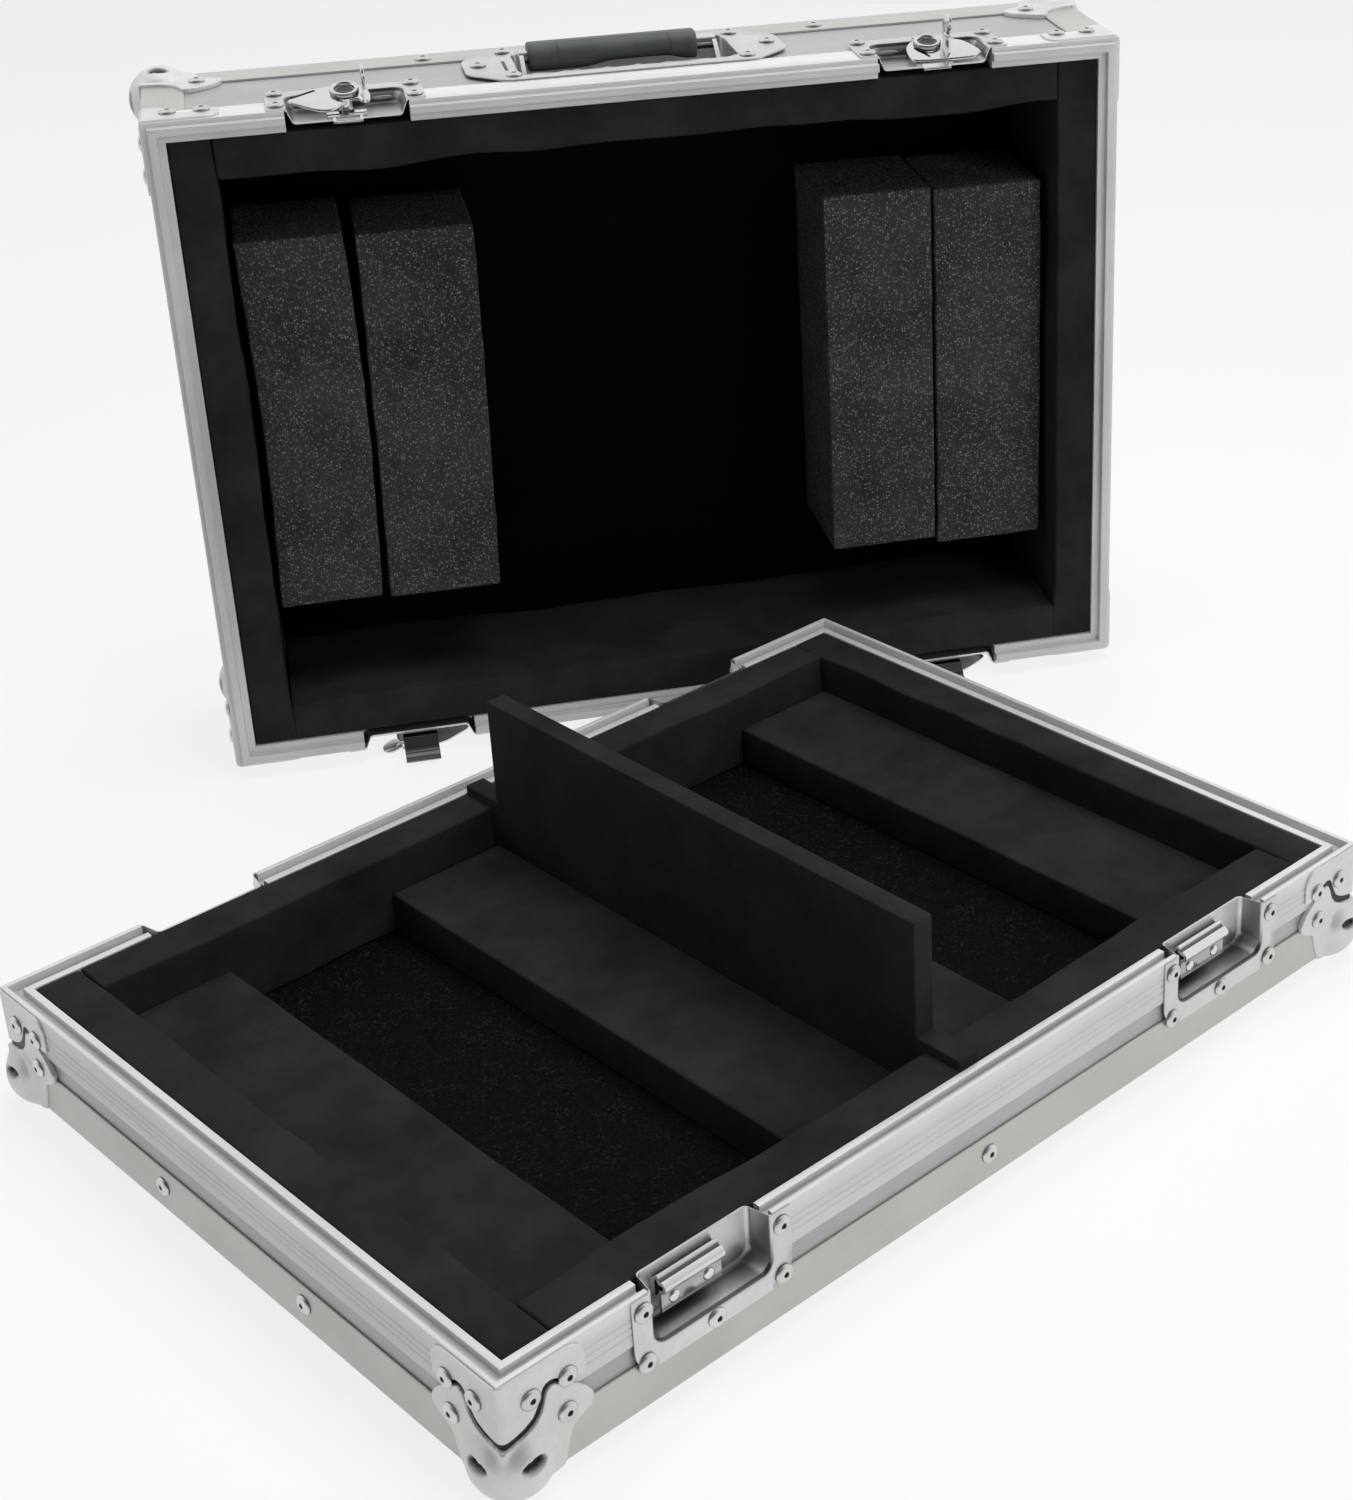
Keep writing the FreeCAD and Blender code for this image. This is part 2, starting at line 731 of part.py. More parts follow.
def hook():
    """Draw hook behind the twist plate: a slotted bed, two cheeks and a turned lip past the rim."""
    bed = dish_recess * hook_bed_share
    tail = dish_floor - fit_gap
    line = [
        (bed, tail),
        (bed, hook_rise_start),
        (hook_face, hook_rise_end),
        (hook_face, hook_gauge / 2 - hook_reach)]
    strip = bent_sheet(line, hook_gauge, hook_width)
    trim_room = ((-overrun, hook_face + hook_gauge), (-overrun, hook_rise_end))
    trims = [
        box((-hook_width / 2, -hook_lip_width / 2), *trim_room),
        box((hook_lip_width / 2, hook_width / 2), *trim_room)]
    lip = box(
        along(0, hook_lip_width / 2),
        (hook_face - hook_gauge / 2, hook_lip_inset + hook_gauge / 2),
        (-hook_reach, hook_gauge - hook_reach))
    slot_half = spindle_radius + seat_gap
    slot_depths = (spindle_depth - slot_half, spindle_depth + slot_half + hook_stroke)
    slot = box(along(0, slot_half), (0, dish_recess), slot_depths)
    cheek_outline = [
        (bed, hook_rise_start),
        (hook_face, hook_rise_end),
        (hook_face, hook_rise_start),
        (bed, dish_floor * cheek_share)]
    cheek = flat([vec(0, inward, depth) for inward, depth in cheek_outline]).extrude(vec(hook_gauge, 0, 0))
    cheeks = [
        moved(cheek, x=-hook_width / 2),
        moved(cheek, x=hook_width / 2 - hook_gauge)]
    return strip.cut(trims + [slot]).fuse([lip] + cheeks).removeSplitter()


def latch_piece(piece, latch):
    """Carry a latch piece to its own dish in the lid."""
    spot = LATCHES[latch]
    return on_wall(piece, spot["wall"], spot["side"] * latch_offset)


# Carrying handle, drawn for the middle of the front wall

def handle_dish():
    """Plate with pointed ends round a pressed well for the fingers."""
    half = handle_plate_length / 2
    side = handle_plate_width / 2
    straight = half - handle_plate_chamfer
    end_half = side - handle_plate_chamfer
    outline = [(-half, -end_half), (-straight, -side), (straight, -side), (half, -end_half)]
    outline += [(-run, -depth) for run, depth in outline]
    plate = flat([vec(run, 0, depth) for run, depth in outline]).extrude(vec(0, -handle_plate_gauge, 0))
    well_half = handle_dish_length / 2
    well_side = handle_dish_width / 2

    def well(grow, y):
        block = box(along(0, well_half + grow), y, along(0, well_side + grow))
        upright = [edge for edge in block.Edges if abs(edge.tangentAt(edge.FirstParameter).y) > 0.5]
        return block.makeFillet(handle_dish_corner + grow, upright)

    shell = well(sheet_gauge, (-handle_plate_gauge, handle_dish_depth + sheet_gauge))
    hollow = well(0, (-overrun, handle_dish_depth))
    return moved(plate.fuse(shell).cut(hollow).removeSplitter(), z=handle_depth)


def handle_pin():
    """Hinge pin across the well, its ends against the well's end walls."""
    half = handle_dish_length / 2
    return Part.makeCylinder(hinge_pin_radius, 2 * half, vec(-half, hinge_drop, hinge_depth), X_AXIS)


def handle_bail():
    """Steel bar through the grip, with an arm at each end down to the hinge pin."""
    inner = grip_length / 2 + arm_gap
    outer = inner + arm_gauge
    bar = Part.makeCylinder(grip_bar_radius, 2 * outer, vec(-outer, -grip_lift, grip_depth), X_AXIS)
    arms = [bar]
    for start in (-outer, inner):
        reach = vec(0, -grip_lift - hinge_drop, grip_depth - hinge_depth)
        side = vec(0, -reach.z, reach.y).normalize() * arm_radius
        foot = vec(start, hinge_drop, hinge_depth)
        head = foot + reach
        web = flat([foot + side, head + side, head - side, foot - side]).extrude(vec(arm_gauge, 0, 0))
        arms.append(web)
        arms.append(Part.makeCylinder(arm_radius, arm_gauge, foot, X_AXIS))
        arms.append(Part.makeCylinder(arm_radius, arm_gauge, head, X_AXIS))
    hole = Part.makeCylinder(
        hinge_pin_radius + hinge_pin_play, 2 * outer, vec(-outer, hinge_drop, hinge_depth), X_AXIS)
    return arms[0].fuse(arms[1:]).cut(hole).removeSplitter()


def handle_grip():
    """Moulded grip sleeve round the bar."""
    half = grip_length / 2
    sleeve = Part.makeCylinder(grip_radius, grip_length, vec(-half, -grip_lift, grip_depth), X_AXIS)
    rims_of_sleeve = [edge for edge in sleeve.Edges if isinstance(edge.Curve, Part.Circle)]
    sleeve = sleeve.makeFillet(grip_edge, rims_of_sleeve)
    bore = Part.makeCylinder(
        grip_bar_radius + grip_bar_play, grip_length, vec(-half, -grip_lift, grip_depth), X_AXIS)
    return sleeve.cut(bore)


def handle_piece(piece):
    return on_wall(piece, "front", handle_shift)


def handle_room(clearance):
    """Room that the handle's well needs in the wall and its liner."""
    room = box(
        along(0, handle_dish_length / 2 + sheet_gauge + clearance),
        (-overrun, handle_dish_depth + sheet_gauge + clearance),
        along(handle_depth, handle_dish_width / 2 + sheet_gauge + clearance))
    return handle_piece(room)


# Foam and lining

def liner(wall, top, floor):
    """Foam plank inside a wall. Those at the sides run the full depth, the others fit between them."""
    if wall in ("front", "rear"):
        half_run = half_width - liner_far - seat_gap
    else:
        half_run = half_depth - liner_near
    plank = on_wall(box(along(0, half_run), (liner_near, liner_far), (top, floor)), wall)
    return cut_all(plank, dish_gaps(wall, plug_floor + fit_gap, plug_back + seat_gap))


def slotted_liner(wall):
    """Base liner with a slot for the divider's end."""
    slot = box(
        along(0, divider_thickness / 2 + seat_gap),
        along(0, half_depth),
        (-overrun, strip_depth))
    return liner(wall, liner_drop, carpet_depth).cut(slot)


def strip(x):
    """Foam strip on the floor of the base that the equipment rests on."""
    return box(x, along(0, half_depth - liner_far - seat_gap), (strip_depth, carpet_depth))


def divider():
    """Board across the middle of the base, with a long foot in the liner slots."""
    foot_half = half_depth - liner_near - seat_gap
    board_half = half_depth - liner_far - divider_end_gap
    foot_top = strip_depth - divider_step
    outline = [
        (-foot_half, strip_depth),
        (foot_half, strip_depth),
        (foot_half, foot_top),
        (board_half, foot_top),
        (board_half, strip_depth - divider_height),
        (-board_half, strip_depth - divider_height),
        (-board_half, foot_top),
        (-foot_half, foot_top)]
    side = flat([vec(-divider_thickness / 2, place, depth) for place, depth in outline])
    return side.extrude(vec(divider_thickness, 0, 0))


def floor_sheet(top, thickness):
    """Carpet or felt glued inside a tray's flat panel."""
    return box(along(0, half_width - wall_skin), along(0, half_depth - wall_skin), (top, top + thickness))


def foam_blocks(side):
    """Two tall foam blocks glued to the lid's lining on one side."""
    blocks = []
    for number in range(2):
        near = block_inner_edge + number * block_pitch
        edges = sorted((side * near, side * (near + block_width)))
        blocks.append(box(edges, along(0, block_height / 2), (block_setback, felt_depth)))
    return group(blocks)


# Assembly: the base, then the lid and what moves on it

nodes = {
    "base_bottom_panel": in_base(flat_panel(base_height)),
    "base_rims": in_base(rims(groove_profile())),
    "base_edge_angles": in_base(edge_angles(base_height)),
    "base_ball_corners": in_base(ball_corners(base_height)),
    "base_corner_braces": in_base(corner_braces()),
    "base_rivets": in_base(base_rivets()),
    "keeper_dishes": in_base(in_dishes(latch_dish())),
    "keeper_catches": in_base(in_dishes(keeper_catch())),
    "base_carpet": in_base(floor_sheet(carpet_depth, carpet_thickness)),
    "base_liner_front": in_base(slotted_liner("front")),
    "base_liner_rear": in_base(slotted_liner("rear")),
    "base_liner_left": in_base(liner("left", liner_drop, carpet_depth)),
    "base_liner_right": in_base(liner("right", liner_drop, carpet_depth)),
    "left_strip": in_base(strip((liner_far - half_width, liner_far - half_width + side_strip_width))),
    "centre_strip": in_base(strip(along(0, centre_strip_width / 2))),
    "right_strip": in_base(strip((half_width - liner_far - side_strip_width, half_width - liner_far))),
    "divider": in_base(divider()),
    "lid_top_panel": in_lid(flat_panel(lid_height)),
    "lid_rims": in_lid(rims(tongue_profile())),
    "lid_edge_angles": in_lid(edge_angles(lid_height).cut(handle_room(seat_gap))),
    "lid_corner_angles": in_lid(corner_angles(lid_height)),
    "lid_ball_corners": in_lid(ball_corners(lid_height)),
    "lid_corner_braces": in_lid(corner_braces()),
    "lid_rivets": in_lid(lid_rivets()),
    "latch_dishes": in_lid(in_dishes(latch_dish())),
    "lid_felt": in_lid(floor_sheet(felt_depth, felt_thickness)),
    "lid_liner_front": in_lid(liner("front", liner_drop, felt_depth).cut(handle_room(seat_gap))),
    "lid_liner_rear": in_lid(liner("rear", liner_drop, felt_depth)),
    "lid_liner_left": in_lid(liner("left", liner_drop, felt_depth)),
    "lid_liner_right": in_lid(liner("right", liner_drop, felt_depth)),
    "left_foam_blocks": in_lid(foam_blocks(-1)),
    "right_foam_blocks": in_lid(foam_blocks(1)),
    "handle_dish": in_lid(handle_piece(handle_dish())),
    "handle_pin": in_lid(handle_piece(handle_pin())),
    "handle_bail": in_lid(handle_piece(handle_bail())),
    "handle_grip": in_lid(handle_piece(handle_grip())),
}

for wall_name in WALL_TURNS:
    nodes["base_" + wall_name + "_panel"] = in_base(wall_panel(wall_name, base_height))
    lid_wall = wall_panel(wall_name, lid_height)
    if wall_name == "front":
        lid_wall = lid_wall.cut(handle_room(seat_gap))
    nodes["lid_" + wall_name + "_panel"] = in_lid(lid_wall)

for latch_name, latch_spot in LATCHES.items():
    nodes["latch_rotor_" + latch_name] = in_lid(latch_piece(rotor(latch_spot["long"]), latch_name))
    nodes["latch_fin_" + latch_name] = in_lid(latch_piece(fin(latch_spot["raised"]), latch_name))
    nodes["latch_hook_" + latch_name] = in_lid(latch_piece(hook(), latch_name))

os.makedirs("parts", exist_ok=True)
for node_name, node_shape in nodes.items():
    node_shape.exportStep(os.path.join("parts", node_name + ".step"))
    print(node_name, len(node_shape.Solids), node_shape.isValid(), round(node_shape.Volume))
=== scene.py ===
import json
import math

import bmesh
import bpy
from mathutils import Matrix, Vector, noise


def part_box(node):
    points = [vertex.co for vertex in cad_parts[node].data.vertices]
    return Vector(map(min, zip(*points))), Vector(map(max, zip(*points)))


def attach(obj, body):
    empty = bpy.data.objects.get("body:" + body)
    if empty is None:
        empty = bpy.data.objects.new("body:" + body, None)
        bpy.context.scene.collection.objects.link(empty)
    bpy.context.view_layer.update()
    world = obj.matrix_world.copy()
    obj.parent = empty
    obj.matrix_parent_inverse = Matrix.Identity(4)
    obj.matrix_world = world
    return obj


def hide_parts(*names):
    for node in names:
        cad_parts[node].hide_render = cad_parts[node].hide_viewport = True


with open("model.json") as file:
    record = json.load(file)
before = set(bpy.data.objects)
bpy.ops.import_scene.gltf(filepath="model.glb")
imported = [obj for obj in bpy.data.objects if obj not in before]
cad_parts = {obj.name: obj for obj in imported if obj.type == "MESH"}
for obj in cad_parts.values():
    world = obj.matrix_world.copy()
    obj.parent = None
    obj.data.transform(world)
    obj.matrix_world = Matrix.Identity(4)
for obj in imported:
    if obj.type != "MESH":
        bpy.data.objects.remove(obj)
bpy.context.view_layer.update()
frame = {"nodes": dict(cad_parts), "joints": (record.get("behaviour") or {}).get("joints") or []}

# Wall, floor and top panels.
# Plywood boards 7 mm thick, faced with a fine-grained grey metal laminate. They slide into the aluminium
# edging of the two trays, the shallow base and the deep lid, and are riveted through it.

MM = 0.001
rims_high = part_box("base_rims")[1]
HALF_WIDTH = rims_high.x / MM
HALF_DEPTH = rims_high.y / MM
BASE_HEIGHT = 58.0
LID_HEIGHT = 108.0
LID_FELT_DEPTH = 98.75

joints = {joint["name"]: joint for joint in frame["joints"]}
lid_across = Vector(joints["handle_swing"]["axis"])
lid_inward = -Vector(joints["latch_draw_front_left"]["axis"])
felt_low, felt_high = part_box("lid_felt")
lid_spot = (felt_low + felt_high) / 2 - lid_inward * LID_FELT_DEPTH * MM


def tray_matrix(along, back, deep, spot):
    """Turn millimetres along a tray, towards its back and by depth from its rim into the frame."""
    columns = [Vector(along) * MM, Vector(back) * MM, Vector(deep) * MM, Vector(spot)]
    rows = [[column[axis] for column in columns] for axis in range(3)]
    return Matrix(rows + [[0, 0, 0, 1]])


TRAYS = {
    "base": tray_matrix((1, 0, 0), (0, 1, 0), (0, 0, -1), (0, 0, rims_high.z)),
    "lid": tray_matrix(lid_across, (0, 0, -1), lid_inward, lid_spot),
}
HEIGHTS = {"base": BASE_HEIGHT, "lid": LID_HEIGHT}
WALL_TURNS = {"front": 0, "right": 90, "rear": 180, "left": 270}
LONG_WALLS = ("front", "rear")


def wall_reach(wall):
    """Distance of a wall's outer face from the middle of its tray."""
    return HALF_DEPTH if wall in LONG_WALLS else HALF_WIDTH


def wall_run(wall):
    """Half the outside length of a wall."""
    return HALF_WIDTH if wall in LONG_WALLS else HALF_DEPTH


def on_wall(wall, offset=0):
    """Carry what is drawn along X, inwards along Y and by depth along Z to its place on a wall."""
    turn = Matrix.Rotation(math.radians(WALL_TURNS[wall]), 4, "Z")
    return turn @ Matrix.Translation((offset, -wall_reach(wall), 0))


def add_node(tree, kind, sockets=None, **settings):
    """Node with its settings, whose inputs are values or links from other nodes' outputs."""
    made = tree.nodes.new(kind)
    for name, value in settings.items():
        setattr(made, name, value)
    for name, value in (sockets or {}).items():
        if isinstance(value, bpy.types.NodeSocket):
            tree.links.new(value, made.inputs[name])
        else:
            made.inputs[name].default_value = value
    return made


def new_group(name, kind, inputs, outputs):
    """Empty node group with its named sockets, and the sockets of its two end nodes."""
    tree = bpy.data.node_groups.new(name, kind)
    for way, sockets in (("INPUT", inputs), ("OUTPUT", outputs)):
        for socket, value in sockets.items():
            tree.interface.new_socket(socket, in_out=way, socket_type="NodeSocket" + value)
    return tree, tree.nodes.new("NodeGroupInput").outputs, tree.nodes.new("NodeGroupOutput").inputs


def range_node(tree, value, low, high, start=0.0, end=1.0):
    """Value carried from one span to another, held at the ends."""
    made = add_node(tree, "ShaderNodeMapRange", {
        "Value": value, "From Min": start, "From Max": end, "To Min": low, "To Max": high})
    return made.outputs["Result"]


def math_node(tree, operation, *values):
    """Result of a sum on values or links."""
    return add_node(tree, "ShaderNodeMath", dict(enumerate(values)), operation=operation).outputs[0]


def noise_node(tree, where, scale, detail, rough=0.5):
    """Noise of a scale, with a detail and roughness of the finer noise on it."""
    made = add_node(tree, "ShaderNodeTexNoise", {
        "Vector": where, "Scale": scale, "Detail": detail, "Roughness": rough})
    return made.outputs[0]


def mix_colours(tree, share, first, second):
    """Colour between two others."""
    made = add_node(tree, "ShaderNodeMix", {0: share, 6: first, 7: second}, data_type="RGBA")
    return made.outputs[2]


def new_material(name, levels, coordinates="Object"):
    """Material with levels set on its shader, its tree, the shader, and coordinates to look it up by."""
    made = bpy.data.materials.new(name)
    made.use_nodes = True
    tree = made.node_tree
    shader = tree.nodes["Principled BSDF"]
    for level, value in levels.items():
        shader.inputs[level].default_value = value
    return made, tree, shader.inputs, add_node(tree, "ShaderNodeTexCoord").outputs[coordinates]


def add_relief(tree, shader, height, strength, distance):
    """Fine relief on a shader."""
    relief = add_node(tree, "ShaderNodeBump", {"Height": height, "Strength": strength, "Distance": distance})
    tree.links.new(relief.outputs["Normal"], shader["Normal"])


GRAIN_NOISE = (1.0, 3.0, 0.65)
GRAIN_SPAN = (0.25, 0.75)
CLOUD_NOISE = (14.0, 4.0, 0.55)
CLOUD_SPAN = (0.3, 0.7)
grain, given, grain_out = new_group(
    "metal_grain", "ShaderNodeTree", {"Vector": "Vector", "Along": "Float", "Across": "Float"},
    {"Grain": "Float", "Cloud": "Float"})
stretch = add_node(grain, "ShaderNodeCombineXYZ", {
    "X": given["Along"], "Y": given["Across"], "Z": given["Across"]})
scaled = add_node(grain, "ShaderNodeVectorMath", {
    0: given["Vector"], 1: stretch.outputs["Vector"]}, operation="MULTIPLY")
streaks = noise_node(grain, scaled.outputs["Vector"], *GRAIN_NOISE)
clouds = noise_node(grain, given["Vector"], *CLOUD_NOISE)
grain.links.new(range_node(grain, streaks, 0, 1, *GRAIN_SPAN), grain_out["Grain"])
grain.links.new(range_node(grain, clouds, 0, 1, *CLOUD_SPAN), grain_out["Cloud"])
GRAIN_SHARE = 0.45
CLOUD_SHARE = 0.55
GRAIN_RELIEF = 0.0002
# Near black towards which painted shade mixes a metal's colour.
PAINTED_SHADE_COLOUR = (0.012, 0.011, 0.013, 1)


def metal(name, dark, light, rough, grain_size, coordinates="Object", bump=0.04, metallic=1.0):
    """Metal whose colour and gloss vary with its drawn grain and with handling, darkened by the painted shade
    its points carry.
    """
    made, tree, shader, where = new_material(name, {"Metallic": metallic}, coordinates)
    along, across = grain_size
    marks = add_node(tree, "ShaderNodeGroup", {
        "Vector": where, "Along": along, "Across": across}, node_tree=grain).outputs
    handled = range_node(tree, marks["Cloud"], 0, CLOUD_SHARE)
    shade = math_node(tree, "MULTIPLY_ADD", marks["Grain"], GRAIN_SHARE, handled)
    colour = mix_colours(tree, shade, (*dark, 1), (*light, 1))
    hollow = add_node(tree, "ShaderNodeAttribute", attribute_name="hollow").outputs["Fac"]
    tree.links.new(mix_colours(tree, hollow, colour, PAINTED_SHADE_COLOUR), shader["Base Color"])
    tree.links.new(range_node(tree, shade, rough[1], rough[0]), shader["Roughness"])
    add_relief(tree, shader, marks["Grain"], bump, GRAIN_RELIEF)
    return made


def dress(solid, material):
    """Give a solid of the frame its finish."""
    mesh = frame["nodes"][solid].data
    mesh.materials.clear()
    mesh.materials.append(material)


laminate = metal(
    "grey_laminate", (0.40, 0.40, 0.41), (0.49, 0.49, 0.50), (0.38, 0.52), (90.0, 900.0), metallic=0.4)
for name in frame["nodes"]:
    if name.endswith("_panel"):
        dress(name, laminate)


# Rim extrusions.
# Drawn aluminium bars, mitred at the corners. The base's has a groove between two lips and the lid's a
# tongue that drops into it. Front and rear bars are sawn off square at the latch dishes.

METAL_GAUGE = 1.5
WALL_SKIN = 8.5
RIM_WIDTH = 12.0
RIM_LEG = 23.0
RIM_INNER_LEG = 14.0
RIM_LIP = 2.6
GROOVE_WIDTH = 5.4
GROOVE_DEPTH = 5.0
GROOVE_FLOOR = 6.5
INNER_LIP_DROP = 1.3
TONGUE_REACH = 4.2
TONGUE_PLAY = 0.4
SCORE_DEPTH = 0.4
SCORE_WIDTH = 1.0
SCORE_SHARES = (0.4, 0.56, 0.72)
RIM_ROUND = 0.5
ROUND_LIMIT = 0.45
# Painted shade on the rims: the base's groove and outer legs, and the lid's lips and tongue, are darkened in
# colour.
RIM_PAINTED_SHADES = {"base": (0.0, 0.0, 0.25, 0.25, 0.0, 0.0), "lid": (0.1, 0.18, 0.18, 0.18, 0.18, 0.18)}
LEG_PAINTED_SHADES = {"base": 0.16, "lid": 0.0}
LATCH_OFFSET = 168.5
DISH_GAP = 34.3


def new_shape():
    """Empty shape, whose points can carry painted shade."""
    shape = bmesh.new()
    shape.verts.layers.float.new("hollow")
    shape.loops.layers.uv.verify()
    return shape


def rounded(points, reach, steps=3):
    """Outline whose corners are turned by small curves."""
    outline = []
    for before, corner, after in zip(points[-1:] + points[:-1], points, points[1:] + points[:1]):
        corner = Vector(corner)
        sides = [Vector(other) - corner for other in (before, after)]
        start, end = (corner + side * min(reach / side.length, ROUND_LIMIT) for side in sides)
        for step in range(steps + 1):
            share = step / steps
            outline.append(start.lerp(corner, share).lerp(corner.lerp(end, share), share))
    return outline


def add_bar(shape, outline, place, ends, painted_shades=(0.0,)):
    """Length of an extrusion. Each end has its place along the wall and leans by its mitre, or is square.
    The shades say how much painted shade each stretch of the outline carries."""
    uv = shape.loops.layers.uv.verify()
    dark = shape.verts.layers.float["hollow"]
    rings = []
    for run, lean in ends:
        ring = [shape.verts.new(place @ Vector((run + lean * spot.x, spot.x, spot.y))) for spot in outline]
        for number, vertex in enumerate(ring):
            vertex[dark] = painted_shades[number * len(painted_shades) // len(outline)]
        rings.append(ring)
    around = [0.0]
    for here, there in zip(outline, outline[1:] + outline[:1]):
        around.append(around[-1] + (there - here).length)
    for number in range(len(outline)):
        after = (number + 1) % len(outline)
        face = shape.faces.new((rings[0][number], rings[0][after], rings[1][after], rings[1][number]))
        corners = ((0, number), (0, number + 1), (1, number + 1), (1, number))
        for loop, (end, spot) in zip(face.loops, corners):
            loop[uv].uv = (ends[end][0] * MM, around[spot] * MM)
    for ring in rings:
        shape.faces.new(ring)


def new_mesh(name, shape):
    """Mesh made from a shape, which is used up."""
    mesh = bpy.data.meshes.new(name)
    shape.to_mesh(mesh)
    shape.free()
    return mesh


def new_object(name, data):
    """Object in the scene that holds a mesh, a lamp or a camera."""
    made = bpy.data.objects.new(name, data)
    bpy.context.scene.collection.objects.link(made)
    return made


def smooth(mesh, flat_angle):
    """Shade a mesh smooth, with its edges sharp from an angle on."""
    mesh.shade_smooth()
    mesh.set_sharp_from_angle(angle=math.radians(flat_angle))


def seat(name, shape, tray, material, body, solid, flat_angle=40):
    """Seat a shape drawn in millimetres in its tray, as a piece that rides on a body in place of a solid."""
    bmesh.ops.transform(shape, matrix=TRAYS[tray], verts=shape.verts)
    bmesh.ops.recalc_face_normals(shape, faces=shape.faces)
    mesh = new_mesh(name, shape)
    mesh.materials.append(material)
    smooth(mesh, flat_angle)
    piece = new_object(name, mesh)
    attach(piece, body)
    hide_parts(solid)
    return piece


def rim_legs():
    """Section of the two legs that hold the panel, from the inner lip round to the scored outer leg."""
    points = [
        (RIM_WIDTH, GROOVE_FLOOR), (WALL_SKIN + METAL_GAUGE, GROOVE_FLOOR),
        (WALL_SKIN + METAL_GAUGE, RIM_INNER_LEG), (WALL_SKIN, RIM_INNER_LEG), (WALL_SKIN, GROOVE_FLOOR),
        (METAL_GAUGE, GROOVE_FLOOR), (METAL_GAUGE, RIM_LEG), (0, RIM_LEG)]
    for share in reversed(SCORE_SHARES):
        middle = RIM_LEG * share
        points += [(0, middle + SCORE_WIDTH / 2), (SCORE_DEPTH, middle), (0, middle - SCORE_WIDTH / 2)]
    return points


def bar_ends(wall, *breaks):
    """Ends of the bars along a wall, mitred at its corners and sawn off square on both sides of breaks."""
    half = wall_run(wall)
    cuts = [(-half, 1)] + [(run, 0) for gap in breaks for run in gap] + [(half, -1)]
    return zip(cuts[::2], cuts[1::2])


groove_far = RIM_LIP + GROOVE_WIDTH
tongue_near, tongue_far = RIM_LIP + TONGUE_PLAY, groove_far - TONGUE_PLAY
RIM_SECTIONS = {
    "base": [
        (0, 0), (RIM_LIP, 0), (RIM_LIP, GROOVE_DEPTH), (groove_far, GROOVE_DEPTH),
        (groove_far, INNER_LIP_DROP), (RIM_WIDTH, INNER_LIP_DROP)] + rim_legs(),
    "lid": [
        (0, 0), (tongue_near, 0), (tongue_near, -TONGUE_REACH), (tongue_far, -TONGUE_REACH),
        (tongue_far, 0), (RIM_WIDTH, 0)] + rim_legs(),
}
dish_gaps = [(middle - DISH_GAP, middle + DISH_GAP) for middle in (-LATCH_OFFSET, LATCH_OFFSET)]
drawn_aluminium = metal(
    "drawn_aluminium", (0.64, 0.64, 0.65), (0.84, 0.84, 0.85), (0.28, 0.42), (7.0, 2200.0), "UV",
    metallic=0.25)
for tray, section in RIM_SECTIONS.items():
    shape = new_shape()
    top = RIM_PAINTED_SHADES[tray]
    painted_shades = top + (LEG_PAINTED_SHADES[tray],) * (len(section) - len(top))
    for wall in WALL_TURNS:
        for ends in bar_ends(wall, *(dish_gaps if wall in LONG_WALLS else ())):
            add_bar(shape, rounded(section, RIM_ROUND), on_wall(wall), ends, painted_shades)
    seat(tray + "_rims_drawn", shape, tray, drawn_aluminium, tray, tray + "_rims")


# Edge angles.
# Plain aluminium angle round the outer edge of each tray, mitred at the corners, and on the lid's four
# upright corners too. The boards are riveted to it. At the lid's handle its leg is filed back for the well.

EDGE_LEG = 24.0
EDGE_ROUND = 0.7
HANDLE_SHIFT = -4.0
HANDLE_NOTCH = (65.5, 20.2)


def angle_section(height, leg=EDGE_LEG):
    """Section of an angle at the foot of a wall."""
    return rounded([
        (0, height - leg), (METAL_GAUGE, height - leg), (METAL_GAUGE, height - METAL_GAUGE),
        (EDGE_LEG, height - METAL_GAUGE), (EDGE_LEG, height), (0, height)], EDGE_ROUND)


# Plain aluminium grey, with a slight warm green tint that is a painted reflection of the surroundings.
edge_aluminium = metal(
    "edge_aluminium", (0.46, 0.46, 0.43), (0.58, 0.58, 0.545), (0.30, 0.44), (5.0, 1500.0), "UV",
    metallic=0.6)
notch = [HANDLE_SHIFT + side * HANDLE_NOTCH[0] for side in (-1, 1)]
for tray, height in HEIGHTS.items():
    shape = new_shape()
    for wall in WALL_TURNS:
        breaks = [notch] if (tray, wall) == ("lid", "front") else []
        for gap in breaks:
            add_bar(shape, angle_section(height, HANDLE_NOTCH[1]), on_wall(wall), [(run, 0) for run in gap])
        for ends in bar_ends(wall, *breaks):
            add_bar(shape, angle_section(height), on_wall(wall), ends)
    seat(tray + "_edge_angles_drawn", shape, tray, edge_aluminium, tray, tray + "_edge_angles")

CORNERS = [(-1, -1), (1, -1), (1, 1), (-1, 1)]


def at_corner(number):
    """Carry what is drawn for the front left corner, along X and Y from its edge, to one of the corners."""
    side, back = CORNERS[number]
    turn = Matrix.Rotation(math.radians(90 * number), 4, "Z")
    return Matrix.Translation((side * HALF_WIDTH, back * HALF_DEPTH, 0)) @ turn


